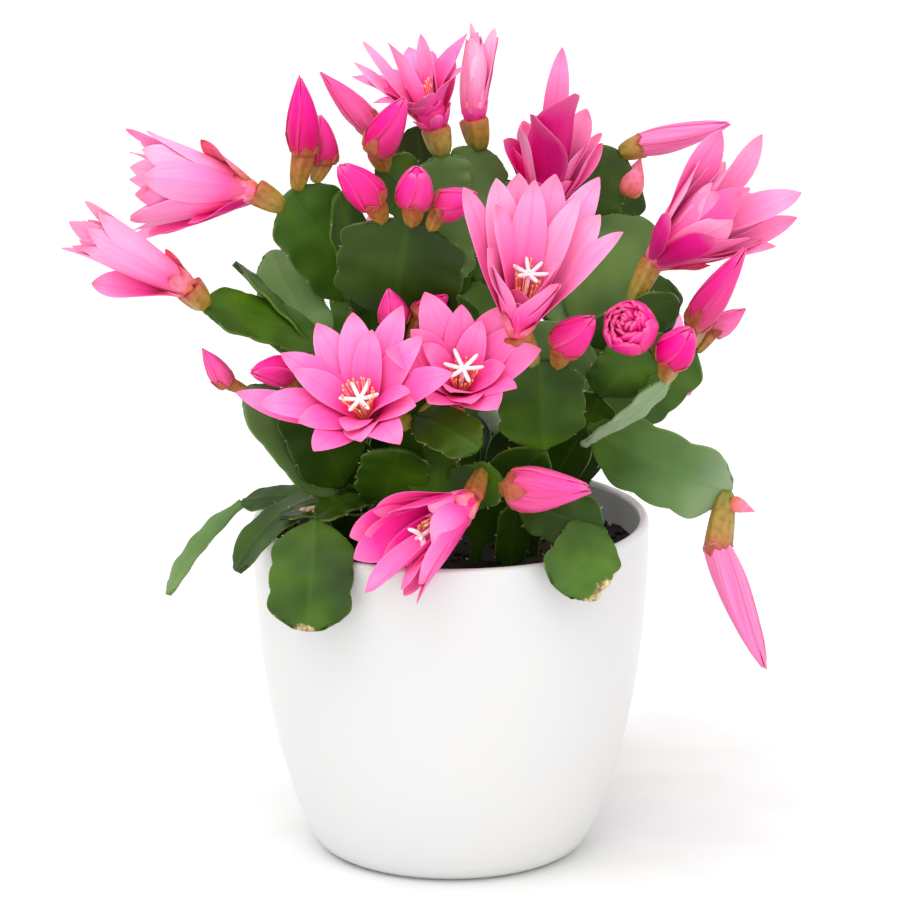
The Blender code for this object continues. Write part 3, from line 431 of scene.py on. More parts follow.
# Each stem: where it leaves the soil (x, y in mm), and its pads. A pad has its own name, what it grows
# from, where its tip is seen (across, up, back in mm), its width, its turn in degrees and its bend in mm.
# Some say how grey-green the pad is, from -1, darkened with painted shade, past 0, fresh green, to 1, and
# above that pale with wax, and then how much greyer it is at its tip than at its foot.
STEMS = {
    "stem_front_left": ((-20, -30), (
        ("foot", None, (-27, 5, -36), 13, 30, 2),
        ("ledge", "foot", (-47, -2, -50), 13, 60, 4, -0.7),
        ("apron", "ledge", (-50, -41, -70), 29, 5, 5, -0.2),
        ("shelf", "foot", (-60, -1, -38), 12, 70, 3, -0.9),
        ("fan", "foot", (-18, 23, -56), 24, 8, -2, -0.1),
    )),
    "stem_front": ((-4, -36), (
        ("foot", None, (-2, 8, -43), 11, 60, 2),
        ("rail", "foot", (18, 12, -60), 16, 8, 2),
        ("back", "foot", (-13, 34, -50), 20, -15, -3),
        ("tongue", "back", (10, 23, -66), 17, -20, 5, -0.1),
    )),
    "stem_front_right": ((20, -32), (
        ("foot", None, (23, 5, -44), 13, 25, 2),
        ("step", "foot", (53, -5, -54), 19, 8, 4),
        ("apron", "step", (38, -27, -71), 24, -10, 5, 0.15),
    )),
    "stem_right": ((28, -10), (
        ("foot", None, (48, 31, -24), 15, -10, 3),
        ("wing", "foot", (98, 8, -32), 29, 30, 8, 0.75, 1.3),
        ("strip", "foot", (76, 48, -46), 10, 54, 4, 1.4, -0.5),
        ("inner", "foot", (52, 42, -30), 15, -25, -3),
        ("paddle", "inner", (67, 60, -48), 20, 20, 2),
    )),
    "stem_centre": ((8, -18), (
        ("foot", None, (32, 23, -38), 22, 15, 2),
        ("paddle", "foot", (31, 54, -50), 30, 4, 3, -0.15),
    )),
    "stem_middle_left": ((-8, -10), (
        ("foot", None, (-8, 24, -22), 22, 10, 2),
        ("riser", "foot", (-20, 68, -30), 30, 8, 3, -0.7),
        ("round", "riser", (-15, 103, -38), 44, -6, 3, -0.75),
        ("prop", "foot", (-18, 58, -44), 20, 15, 3),
    )),
    "stem_left": ((-27, -6), (
        ("foot", None, (-37, 27, -16), 15, 20, 2),
        ("riser", "foot", (-43, 59, -17), 19, 25, 2),
        ("arm", "riser", (-87, 73, -34), 22, 48, 3, 0.05, -0.5),
        ("spear", "riser", (-76, 88, -14), 15, 80, 2),
        ("shield", "riser", (-63, 92, 6), 19, 16, 2, 1.0),
        ("rear", "foot", (-53, 54, 14), 22, 0, 3),
        ("leaf", "rear", (-58, 84, 28), 23, 10, 3),
    )),
    "stem_upper_left": ((-16, 8), (
        ("foot", None, (-23, 34, -2), 17, 15, 2),
        ("riser", "foot", (-29, 76, -2), 20, 12, -2),
        ("shield", "riser", (-57, 113, -12), 29, 8, 3, 0.1),
        ("blade", "riser", (-40, 112, -22), 23, 58, 2, -0.2),
    )),
    "stem_top": ((0, 14), (
        ("foot", None, (-2, 36, 14), 24, -10, 2),
        ("riser", "foot", (-4, 78, 10), 27, 10, 2),
        ("fork", "riser", (-3, 107, 8), 25, 15, -2, 0.7),
        ("left", "fork", (-3, 126, 2), 19, 16, 2, 0.9),
        ("right", "fork", (12, 128, 14), 23, 24, 2, 0.85),
        ("sprig", "fork", (-25, 123, -8), 20, 8, 2),
        ("rear", "fork", (-12, 136, 22), 18, 0, -2),
        ("lean", "foot", (8, 82, 38), 24, -10, 3),
        ("leaf", "lean", (24, 116, 48), 25, 14, 3),
        ("frond", "lean", (-12, 112, 46), 22, -16, 3),
    )),
    "stem_top_right": ((18, 8), (
        ("foot", None, (28, 32, 10), 24, 10, 2),
        ("riser", "foot", (43, 66, 2), 29, -18, 2, 0.85, 0.5),
        ("shield", "riser", (69, 103, 14), 28, -14, 2, 0.4),
        ("back", "riser", (46, 100, 24), 22, 0, 2, 0.8),
        ("crest", "back", (55, 129, 20), 22, 6, 2, 0.2),
        ("small", "back", (66, 114, 36), 13, 10, 2),
        ("ledge", "riser", (79, 76, -10), 19, 42, 3),
    )),
    "stem_right_rear": ((31, 6), (
        ("foot", None, (56, 34, 2), 18, 5, 3),
        ("wing", "foot", (83, 61, -12), 27, 12, 3, 0.5, -0.5),
        ("rear", "foot", (62, 54, 28), 25, 10, 3),
        ("leaf", "rear", (72, 84, 38), 25, -14, 3),
    )),
    "stem_left_low": ((-33, -14), (
        ("foot", None, (-38, 10, -22), 15, 20, 2),
        ("dark", "foot", (-53, 44, -28), 27, 18, 2),
        ("pale", "foot", (-72, 44, -32), 21, 34, 0, 0.8, 0.6),
        ("arch", "foot", (-75, -20, -36), 18, 58, 14, -0.5),
        ("link", "foot", (-73, 4, -6), 12, 50, 3),
        ("whip", "link", (-99, -28, -6), 9, 52, 7, 0.95),
    )),
    "stem_back_left": ((-20, 28), (
        ("foot", None, (-22, 34, 44), 18, 20, 2),
        ("riser", "foot", (-30, 56, 66), 26, 30, 3),
        ("fan", "riser", (-26, 88, 78), 30, -14, 3),
        ("hook", "riser", (-46, 40, 92), 22, 40, 8),
        ("side", "foot", (-52, 44, 46), 24, -30, 4),
    )),
    "stem_back": ((4, 34), (
        ("foot", None, (6, 36, 52), 18, -10, 2),
        ("riser", "foot", (6, 74, 62), 28, 5, 3),
        ("fan", "riser", (2, 104, 58), 32, 12, -3),
        ("drop", "foot", (14, 34, 86), 26, -10, 9),
        ("hang", "drop", (22, 6, 94), 24, 10, 4),
    )),
    "stem_back_right": ((26, 24), (
        ("foot", None, (34, 34, 40), 18, -20, 2),
        ("riser", "foot", (46, 62, 58), 27, -28, 3),
        ("fan", "riser", (40, 94, 66), 28, 10, 3),
        ("wing", "riser", (62, 50, 76), 24, -30, 7),
        ("low", "foot", (62, 26, 62), 24, -30, 8),
    )),
}
# The greyness that a row doesn't give is drawn round 0, or round this for low pads, darkened as painted shade
SHADED_LOW_PADS = {"foot": -0.7, "riser": -0.35, "prop": -0.5, "dark": -0.4, "rear": -0.2}
# Where old pads have a corky scar: aside and along on the pad, and how far it spreads in both ways
SCARS = {("stem_front_left", "apron"): (0.15, 1.02, 0.95, 0.13),
         ("stem_front_right", "apron"): (-1.0, 0.74, 0.42, 0.42),
         ("stem_front_left", "shelf"): (0.1, 0.62, 0.8, 0.35)}
NO_SCAR = (0, -9, 1, 1)

# Pad skin: tough and waxy, deep green, grey-green where the wax is thick, with pores under 1 mm apart.
# The margin is pale and dry, a scar is tan cork, and a tone below 0 darkens it with painted shade.
pad_skin, tree = new_material("waxy_green_skin")
place = add_node(tree, "TexCoord", out="Object")
tone, across, scar = (add_node(tree, "Attribute", out="Fac", attribute_name=mark)
                      for mark in ("tone", "across", "outer"))
clouds = add_node(tree, "TexNoise", {"Vector": place, "Scale": 42.0, "Detail": 2.0})
pores = add_node(tree, "TexNoise", {"Vector": place, "Scale": 1100.0, "Detail": 2.0})
green = add_node(tree, "ValToRGB", [clouds], [(0.30, "#243f05"), (0.5, "#365709"), (0.71, "#4d7310")])
grey = add_node(tree, "ValToRGB", [clouds], [(0.30, "#50723a"), (0.70, "#718f52")])
greyness = add_node(tree, "MapRange", [tone])
skin = add_node(tree, "MixRGB", (greyness, green, grey))
edge = add_node(tree, "Math", [across], operation="ABSOLUTE")
# Wax, shade, the midrib and the dry margin, each laid over a range of a mark
for *marked, colour in ((tone, 1.0, 2.0, 0.0, 1.0, "#c2d2b6"), (tone, -1.0, 0.0, 0.85, 0.0, "#142603"),
                        (edge, 0.02, 0.09, 0.16, 0.0, "#4f7420"), (edge, 0.975, 1.0, 0.0, 0.28, "#7f9440")):
    skin = add_node(tree, "MixRGB", (add_node(tree, "MapRange", marked), skin, colour))
flecks = add_node(tree, "TexNoise", {"Vector": place, "Scale": 600.0, "Detail": 4.0})
cork = add_node(tree, "ValToRGB", [flecks], [(0.35, "#7d6238"), (0.65, "#d8c596")])
spread = add_node(tree, "Math", (flecks, 0.5, scar), operation="MULTIPLY_ADD")
scarred = add_node(tree, "MapRange", (spread, 0.62, 0.80))
skin = add_node(tree, "MixRGB", (scarred, skin, cork))
depth = add_node(tree, "Math", (scarred, 1.5, 1.0), operation="MULTIPLY_ADD")
height = add_node(tree, "Math", (pores, depth), operation="MULTIPLY")
relief = add_node(tree, "Bump", {"Height": height, "Strength": 0.25, "Distance": 0.0003})
add_node(tree, "BsdfPrincipled", {"Base Color": skin, "Normal": relief, "Roughness": 0.40, "IOR": 1.42,
                                  "Specular IOR Level": 0.28})

# Bristles: dry cream and tan fibres, a fifth of a millimetre thick.
dry_fibre, tree = new_material("dry_fibre")
place = add_node(tree, "TexCoord", out="Object")
shade = add_node(tree, "TexNoise", {"Vector": place, "Scale": 300.0})
tint = add_node(tree, "ValToRGB", [shade], [(0.35, "#b8a06a"), (0.65, "#e6dcb4")])
add_node(tree, "BsdfPrincipled", {"Base Color": tint, "Roughness": 0.8})


def grow(root, rows):
    """The pads of one stem by name. The first that grows from a pad goes on from its tip, others from a side."""
    heirs = {parent: name for name, parent, *_ in reversed(rows)}
    pads = {}
    for name, parent, tip, width, turn, bend, *greys in rows:
        end = seen(*tip)
        before = pads.get(parent)
        if before is None:
            base = Vector((root[0] * MM, root[1] * MM, SOIL_LEVEL - ROOT_DEPTH * MM))
        elif heirs[parent] == name:
            base = before.curve[2]
        else:
            reach = (end - before.curve[2]).dot(before.side)
            base = before.at(FORK_AT, math.copysign(FORK_ASIDE, reach))
        pads[name] = Pad(base, end, width, turn, bend, before is None, name in heirs, *greys)
    return pads


PADS = {}
for stem, (root, rows) in STEMS.items():
    chance = random.Random(stem)
    piece = Piece()
    PADS[stem] = grow(root, rows)
    for name, pad in PADS[stem].items():
        grid, thick, t, u = pad.surface(chance)
        # Pads low in the plant start darker: painted shade deep inside the plant
        usual = SHADED_LOW_PADS.get(name, 0) + chance.uniform(-0.3, 0.3)
        greys = (usual if pad.grey is None else pad.grey) + pad.fade * (t - 0.5)
        aside, reached, broad, long = SCARS.get((stem, name), NO_SCAR)
        scar = np.clip(1 - np.hypot((u - aside) / broad, (t - reached) / long), 0, 1)
        add_blade(piece, grid, thick, along=t, across=u, tone=greys, outer=scar)
        for edge, sign in ((0, -1), (-1, 1)):
            for notch in range(round(1 / TEETH_PITCH)):
                row = round((FIRST_NOTCH + notch * TEETH_PITCH) * (PAD_ROWS - 1))
                spot = Vector(grid[row, edge])
                if pad.fullness(t[row])[0] < 0.3:
                    continue
                for _ in range(BRISTLES):
                    way = pad.side * sign + Vector([chance.uniform(-0.7, 0.7) for _ in range(3)])
                    tip = spot + way.normalized() * chance.uniform(0.7, 1.5) * MM
                    piece.add(*rod((spot - way * 0.2 * MM, tip), BRISTLE_RADII, 3), look=1)
    piece.make(stem + "_pads", [pad_skin, dry_fibre], "green_stem", stem)

# The flowers' shapes: an angular golden ovary on the pad's tip, a short tube, and satin petals in whorls
# that start inside it. The outermost are short scales.
PIECE_GAP = 0.3
ARCH = {"narrow": 1.8, "closed": -2.2, "flared": 0.12, "open": 1.4, "bell": 1.5, "wide": 0.95, "star": 0.45}
# The whorls of a bloom: petals, share of the length, share of the spread, width in mm, how far from the
# bloom's axis the petals start in mm, and how much deeper their pink is
WHORLS = {
    "narrow": ((5, 0.97, 1.0, 11.0, 3.6, 0), (3, 0.93, 0.40, 7.5, 1.3, 0), (5, 0.95, 0.92, 10.5, 3.0, 0)),
    "closed": ((5, 0.84, 1.0, 12.0, 3.7, 0), (3, 0.95, 0.40, 7.5, 1.3, 0), (5, 0.80, 0.9, 11.0, 3.0, 0)),
    "flared": ((6, 0.95, 1.0, 11.0, 3.4, 0), (4, 0.62, 0.30, 8.0, 1.0, 0.5), (6, 0.80, 0.8, 11.0, 2.8, 0.3)),
    "open": ((6, 0.97, 1.0, 14.5, 3.4, 0), (4, 0.92, 0.64, 10.0, 1.1, 0), (6, 0.96, 0.92, 13.5, 3.0, 0)),
    "bell": ((6, 0.72, 0.9, 17.0, 3.6, 0.1), (3, 0.50, 0.5, 12.0, 1.1, 0.3), (5, 0.66, 0.8, 15.0, 2.8, 0)),
    "wide": ((6, 1.0, 1.0, 15.0, 3.4, 0), (5, 0.96, 0.60, 12.5, 1.3, 0), (6, 0.95, 0.84, 14.5, 2.6, 0)),
    "star": ((6, 1.0, 1.0, 14.0, 3.2, 0), (4, 0.80, 0.78, 11.0, 1.1, 0), (6, 0.94, 0.88, 12.5, 2.4, 0)),
}
# How closely each kind's petals are cupped round the bloom's axis, and how full they are towards their tips
HUG = {"narrow": 1.0, "closed": 1.0, "flared": 0.95, "open": 0.95, "bell": 1.0, "wide": 0.7, "star": 0.45}
TAPER = {"narrow": 3.4, "closed": 3.6, "flared": 2.3, "open": 3.2, "bell": 4.2, "wide": 3.4, "star": 3.2}
PETALS_START = 1.2
MIDDLE_AT = 0.48
AXIS_TO_PETAL = 0.003
PETAL_ROWS = np.array((0.03, 0.08, 0.15, 0.23, 0.31, 0.39, 0.47, 0.55, 0.63, 0.71, 0.78, 0.85, 0.91, 0.955,
                       0.985, 1))
PETAL_COLUMNS = np.array((-1, -0.92, -0.72, -0.45, -0.18, 0, 0.18, 0.45, 0.72, 0.92, 1))
PETAL_HALF_THICKNESS = 0.32
PETAL_TWIST = 14
CREASE_DEPTH = 0.28
RUFFLE_DEPTH = 0.35
TIP_RECURVE = 0.05
OVARY_RADIUS = 4.7
OVARY_SIDES = 40
OVARY_LOBES = (5, 0.09)
OVARY_PROFILE = ((0, 0.35), (0.04, 0.55), (0.16, 0.72), (0.35, 0.87), (0.6, 0.98), (0.85, 1.05), (0.96, 1.04),
                 (1, 0.90))


def standing(base, points_to):
    """Where a flower stands, just off its ovary, the way that it points, and how far apart its two points are."""
    foot, head = seen(*base), seen(*points_to)
    axis = (head - foot).normalized()
    return foot + axis * PIECE_GAP * MM, axis, (head - foot).length


def outward_at(axis, first, angle):
    """The direction away from an axis at an angle that is counted from its first direction."""
    return first * math.cos(angle) + axis.cross(first) * math.sin(angle)


def petal_fullness(t, taper):
    """How wide a petal is along its length: a narrow claw, full past its middle and a pointed tip."""
    share = t ** 0.55 * np.clip(1 - t ** taper, 0, 1) ** 0.8
    return np.maximum(share / share.max(), 0.03)


def petal(piece, start, axis, outward, length, lean, arch, width, tone, chance, look, hug, taper=3.2, turn=0):
    """One satin petal that leans out from the bloom's axis by `lean` degrees.

    It is cupped round that axis by `hug`, a larger `taper` keeps it full nearer to its tip, and `turn` is how
    far its tip turns its face to the front, in radians.
    """
    angle = math.radians(lean)
    end = start + (axis * math.cos(angle) + outward * math.sin(angle)) * length
    middle = start + (axis * math.cos(angle * arch) + outward * math.sin(angle * arch)) * length * MIDDLE_AT
    t = PETAL_ROWS[:, None]
    u = PETAL_COLUMNS[None]
    places, ways = curve_at((start, middle, end), PETAL_ROWS)
    side = np.array(axis.cross(outward))
    inward = np.cross(ways, side)
    half = width / 2 * petal_fullness(t, taper)
    chance_twist = math.radians(chance.uniform(-PETAL_TWIST, PETAL_TWIST))
    twist = (chance_twist + turn * axis.cross(outward).dot(AWAY)) * t
    turned_side = side * np.cos(twist) + inward * np.sin(twist)
    turned_in = inward * np.cos(twist) - side * np.sin(twist)
    away = places - np.array(start) + np.array(outward) * AXIS_TO_PETAL
    away = away - (away @ np.array(axis))[:, None] * np.array(axis)
    bow = np.maximum(np.linalg.norm(away, axis=1)[:, None] / hug, half * 0.75)
    aside = bow * np.sin(half * u / bow)
    cup = bow * (1 - np.cos(half * u / bow))
    crease = -CREASE_DEPTH * MM * np.exp(-(u / 0.22) ** 2) * np.sin(math.pi * t)
    waves = np.sin(math.tau * (t * chance.uniform(1.3, 2.2) + chance.random()) + 1.5 * u)
    ruffle = waves * u ** 2 * RUFFLE_DEPTH * MM * t
    recurve = -chance.uniform(0.0, TIP_RECURVE) * length * np.clip(t - 0.7, 0, 1) ** 2 / 0.09
    lift = cup + crease + ruffle + recurve
    grid = places[:, None] + turned_side[:, None] * aside[..., None] + turned_in[:, None] * lift[..., None]
    thick = PETAL_HALF_THICKNESS * MM * (0.35 + 0.65 * (1 - u ** 2)) * (1.25 - 0.7 * t)
    add_blade(piece, grid, thick, look, along=t, across=u, tone=tone, outer=np.array((1, 0))[:, None, None])


def ovary(piece, foot, head, radius, look, ripe):
    """The angular barrel under a flower, on the tip of its pad; a ripe one has less green and more red."""
    length = (head - foot).length
    profile = [(share * radius, along * length) for along, share in OVARY_PROFILE]
    points, faces, along = turned(profile, OVARY_SIDES, foot, (head - foot).normalized(), *OVARY_LOBES)
    piece.add(points, faces, look, along=along * (1 - ripe) + ripe, tone=0.5)


# Petals: thin and satin, pink with a deeper base and tip, and fine lengthwise veins about 0.8 mm apart.
# The deep tone is the magenta of young flowers and painted shade on shaded ones, one above 1 is near
# crimson painted shade inside petals in shadow, and one below 0 is a paler pink.
petal_satin, tree = new_material("satin_petal")
along, across, tone, outer = (add_node(tree, "Attribute", out="Fac", attribute_name=mark) for mark in Piece.MARKS)
light_pink = add_node(tree, "ValToRGB", [along], [(0.06, "#ff9650"), (0.15, "#ff7062"), (0.25, "#f93a96"),
                                                  (0.44, "#fd62b6"), (0.66, "#ff86c6"), (0.88, "#ff98ce"),
                                                  (1.0, "#fb7aa6")])
magenta = add_node(tree, "ValToRGB", [along], [(0.02, "#dc5c34"), (0.12, "#c00056"), (0.4, "#e60086"),
                                               (0.78, "#fa209e"), (1.0, "#ff7ab8")])
deepness = add_node(tree, "Math", (outer, 0.10, tone), operation="MULTIPLY_ADD", use_clamp=True)
pink = add_node(tree, "MixRGB", (deepness, light_pink, magenta))
for *marked, colour in ((tone, -1.0, 0.0, 1.0, 0.0, "#ffd2e6"), (tone, 1.0, 2.0, 0.0, 1.0, "#a0004a")):
    pink = add_node(tree, "MixRGB", (add_node(tree, "MapRange", marked), pink, colour))
foot_share = add_node(tree, "MapRange", (along, 0.05, 0.42, 0.8, 0.0))
foot_outside = add_node(tree, "Math", (foot_share, outer), operation="MULTIPLY")
pink = add_node(tree, "MixRGB", (foot_outside, pink, "#f0389e"))
vein_place = add_node(tree, "CombineXYZ", [add_node(tree, "Math", (mark, times), operation="MULTIPLY")
                                           for mark, times in ((across, 9.0), (along, 1.6), (tone, 61.0))])
veins = add_node(tree, "TexNoise", {"Vector": vein_place, "Scale": 1.0, "Detail": 2.0})
vein_tint = add_node(tree, "ValToRGB", [veins], [(0.3, "#f7e2ee"), (0.62, "#ffffff")])
pink = add_node(tree, "MixRGB", (0.6, pink, vein_tint), blend_type="MULTIPLY")
edge = add_node(tree, "Math", [across], operation="ABSOLUTE")
for *marked, colour in ((edge, 0.80, 1.0, 0.0, 0.12, "#ffb3dc"), (edge, 0.0, 0.16, 0.14, 0.0, "#f0359a")):
    pink = add_node(tree, "MixRGB", (add_node(tree, "MapRange", marked), pink, colour))
relief = add_node(tree, "Bump", {"Height": veins, "Strength": 0.35, "Distance": 0.0003})
add_node(tree, "BsdfPrincipled", {"Base Color": pink, "Normal": relief, "Roughness": 0.5, "IOR": 1.4,
                                  "Specular IOR Level": 0.3})

# Sepal scales: thicker than petals, salmon pink with a brownish point.
sepal_skin, tree = new_material("salmon_sepal")
along = add_node(tree, "Attribute", out="Fac", attribute_name="along")
tint = add_node(tree, "ValToRGB", [along], [(0.05, "#b0782f"), (0.25, "#ec7470"), (0.55, "#fb8cac"),
                                            (0.9, "#ee6484"), (1.0, "#b04438")])
place = add_node(tree, "TexCoord", out="Object")
mottle = add_node(tree, "TexNoise", {"Vector": place, "Scale": 500.0, "Detail": 2.0})
cloud = add_node(tree, "ValToRGB", [mottle], [(0.3, "#d9c9b8"), (0.6, "#ffffff")])
tint = add_node(tree, "MixRGB", (0.8, tint, cloud), blend_type="MULTIPLY")
add_node(tree, "BsdfPrincipled", {"Base Color": tint, "Roughness": 0.5, "IOR": 1.4})

# Ovary skin: waxy, olive at the pad and golden to reddish towards the flower, mottled about 1 mm across.
ovary_skin, tree = new_material("golden_ovary_skin")
along = add_node(tree, "Attribute", out="Fac", attribute_name="along")
tint = add_node(tree, "ValToRGB", [along], [(0.0, "#5f7824"), (0.25, "#86842a"), (0.6, "#ac8a38"),
                                            (0.86, "#b4663a"), (1.0, "#bc4848")])
place = add_node(tree, "TexCoord", out="Object")
mottle = add_node(tree, "TexNoise", {"Vector": place, "Scale": 420.0, "Detail": 3.0})
cloud = add_node(tree, "ValToRGB", [mottle], [(0.3, "#c9c0a0"), (0.62, "#ffffff")])
tint = add_node(tree, "MixRGB", (0.8, tint, cloud), blend_type="MULTIPLY")
relief = add_node(tree, "Bump", {"Height": mottle, "Strength": 0.15, "Distance": 0.0002})
add_node(tree, "BsdfPrincipled", {"Base Color": tint, "Normal": relief, "Roughness": 0.4, "IOR": 1.45})

# Filaments and stigmas: soft matt threads, white to salmon pink, with cream pollen heads.
white_thread, tree = new_material("white_stigma_flesh")
tone = add_node(tree, "Attribute", out="Fac", attribute_name="tone")
tint = add_node(tree, "ValToRGB", [tone], [(0.0, "#fff3f0"), (0.35, "#ffa27a"), (1.0, "#f8c086")])
add_node(tree, "BsdfPrincipled", {"Base Color": tint, "Roughness": 0.6, "IOR": 1.4, "Subsurface Weight": 0.2,
                                  "Subsurface Scale": 0.001})

# The open blooms. Each has the stem and pad that carry it, where on the pad its ovary stands (along, aside),
# where its base is seen and which way it points, its kind, spread in degrees, roll, length and tone.
BLOOMS = {
    "bloom_far_left": ("stem_left", "arm", 0.97, 0, (-91, 79, -36), (-133, 102, -46), "narrow", 5.5, 0, 45, -0.35),
    "bloom_upper_left": ("stem_upper_left", "shield", 0.93, -0.4, (-68, 113, -13), (-108, 116, -17),
                         "open", 19, 8, 45, -0.25),
    "bloom_top": ("stem_top", "left", 0.97, 0, (-5, 135, 2), (-17, 166, 2), "flared", 40, 62, 33, 0.32),
    "bloom_top_narrow": ("stem_top", "right", 0.95, -0.2, (8, 138, 13), (8, 168, 13), "closed", -3, 60, 32, -0.5),
    "bloom_centre": ("stem_centre", "paddle", 0.96, -0.2, (23, 63, -54), (31, 102, -74), "wide", 23.5, 15, 57, -0.16),
    "bloom_rear": ("stem_top_right", "back", 0.95, -0.5, (32, 105, 10), (37, 144, 4), "bell", 24, -20, 45, 0.3),
    "bloom_right": ("stem_top_right", "ledge", 0.62, -0.7, (70, 88, -4), (111, 118, -16), "open", 20, 20, 43, -0.22),
    "bloom_left_star": ("stem_front", "back", 0.97, -0.4, (-28.5, 31, -59), (-34, 46, -74), "star", 52, 30, 38, 0.38),
    "bloom_right_star": ("stem_front", "back", 0.97, 0.5, (2.6, 40, -46), (4.6, 53, -61), "star", 38, 30, 36, 0.42),
    "bloom_low": ("stem_front", "rail", 0.75, -0.6, (8, 6, -69), (-23, -17, -82), "open", 19, 20, 39, 0.5),
    "bloom_back_high": ("stem_back", "fan", 0.97, 0, (2, 112, 64), (0, 124, 94), "wide", 34, 0, 32, 0.15),
    "bloom_back_left": ("stem_back_left", "fan", 0.97, 0, (-30, 91, 86), (-42, 96, 114), "wide", 27, 10, 40, 0.25),
    "bloom_back_right": ("stem_back_right", "wing", 0.97, 0, (66, 50, 84), (74, 56, 114), "wide", 25, 20, 40, 0.3),
    "bloom_back_low": ("stem_back", "hang", 0.97, 0, (24, -2, 99), (27, -34, 116), "narrow", 16, 30, 38, 0.5),
}
# Petals and sepals that stand out from the whorls: where each tip is seen, its width in mm, tone and look
STRAYS = {
    "bloom_far_left": (((-125.6, 81.2, -44), 13, 0.1, 0), ((-100.1, 92.5, -38), 6, 0.5, 1)),
    "bloom_upper_left": (((-87.9, 130.5, -18), 12, 0.5, 1), ((-114, 134, -18), 11, 0.0, 0),
                         ((-106, 99.5, -18), 9, 0.7, 0), ((-92, 102, -26), 10, 0.9, 0)),
    "bloom_top": (((-33, 159, 0), 7, -0.2, 0), ((-30, 166, 0), 7, -0.2, 0), ((-21, 166, -6), 7, -0.1, 0),
                  ((-11, 168, 4), 9, -0.1, 0), ((-1, 163, 6), 9, 0.1, 0)),
    "bloom_top_narrow": (((8.4, 170, 13), 8, -0.5, 0), ((15.5, 167, 13), 3.5, 0.1, 0)),
    # Tones above 1 on the rear bloom's petals paint the shade inside its bell
    "bloom_rear": (((39, 163, 12), 9, 0.1, 0), ((42, 148, -8), 25, 1.4, 0), ((19, 131, -4), 20, 1.3, 0),
                   ((30, 140, -7), 24, 1.5, 0), ((25, 136.5, -14), 5, -0.3, 0), ((47.5, 142, 8), 13, -0.1, 0),
                   ((53, 130, 8), 9, 0.0, 0)),
    "bloom_right": (((94.9, 133.7, -12), 16, 0.1, 0), ((109.9, 131.3, -16), 18, -0.2, 0),
                    ((122, 113, -20), 18, -0.2, 0), ((121, 104, -14), 11, -0.1, 0),
                    ((113, 95, -24), 14, -0.1, 0), ((90.7, 87.2, -14), 3.5, 0.5, 1),
                    ((76.7, 105, -26), 10, 1.0, 0), ((93.1, 98, -32), 10, 0.9, 0),
                    ((103, 114, -34), 13, 0.45, 0)),
    "bloom_left_star": (((-74.9, 43, -58), 10, 0.35, 0), ((-58, 36, -52), 7, 0.5, 1)),
    "bloom_low": (((-35.4, -8, -68), 16, 0.9, 0), ((-34, -15.5, -72), 16, 0.95, 0),
                  ((-27, 0.5, -70), 13, 0.7, 0), ((-30.1, -27.3, -86), 14, 0.3, 0),
                  ((-18, -25.6, -90), 12, 0.4, 0)),
}
# The side of a bloom where its petals are shorter, and how much; then where painted shade deepens their pink
SHORTER = {"bloom_centre": (-AWAY, 0.5), "bloom_low": (RISING * 0.6 - AWAY * 0.8, 0.6),
           "bloom_left_star": (-RISING, 0.22), "bloom_right_star": (-RISING, 0.12),
           "bloom_back_right": (SIDEWAYS, 0.4), "bloom_back_high": (RISING, 0.65),
           "bloom_back_left": (RISING, 0.35), "bloom_rear": (-AWAY, 0.72), "bloom_top": (-AWAY, 0.45)}
PAINTED_SHADE_SIDE = {"bloom_low": (AWAY, 0.6), "bloom_rear": (-(SIDEWAYS + AWAY) * 0.7, 0.6)}
# How far a bloom's petals turn their faces to the front, in radians; those that stand out turn most
FACING_FRONT = {"bloom_centre": 0.7, "bloom_right": 0.4, "bloom_top": 0.4}
STRAY_TURN = 0.9
STRAY_ARCH = 1.15
STRAY_START = 3.4
# Petals pointing down get a deeper pink as painted shade, and those pointing up a paler one as painted light
UNDERSIDE_SHADE_TONE = 0.14
SMALLER_OVARY = {"bloom_low": 0.72, "bloom_upper_left": 0.92, "bloom_right": 0.8}
RIPE_BLOOMS = {"bloom_low": 0.45, "bloom_upper_left": 0.3, "bloom_far_left": 0.25}
SLOTS = {"bloom_rear": "magenta_petal", "bloom_low": "light_pink_petal", "bloom_centre": "light_pink_petal",
         "bloom_top": "light_pink_petal"}
# The tube, from its foot up to its lip and down inside: radius and height in mm, and how far on its pink is
TUBE = ((3.0, 0, 0.20), (4.2, 1.2, 0.22), (5.0, 3.2, 0.25), (5.5, 6.5, 0.3), (5.2, 7.0, 0.3), (4.4, 6.2, 0.1),
        (3.2, 4.0, 0.03), (0.1, 3.4, 0.02))
TUBE_SIDES = 30
TUBE_LOBES = (6, 0.05)
SLIM_TUBE = 0.78
OVARY_SEAT = 0.5
SCALES = 5
SCALE_WIDTH = 5.5
SCALE_ARCH = 1.2
# The filaments: how far up and aside they start in the tube, and the height and radius of the pollen in mm
FILAMENTS = 26
FILAMENT_RADIUS = 0.2
FILAMENT_FOOT = (3.5, 2.2)
FILAMENT_TONE = 0.35
POLLEN = ((-0.5, 0.2), (0, 0.4), (0.8, 0.36), (1.1, 0.1))
POLLEN_TONE = 0.95

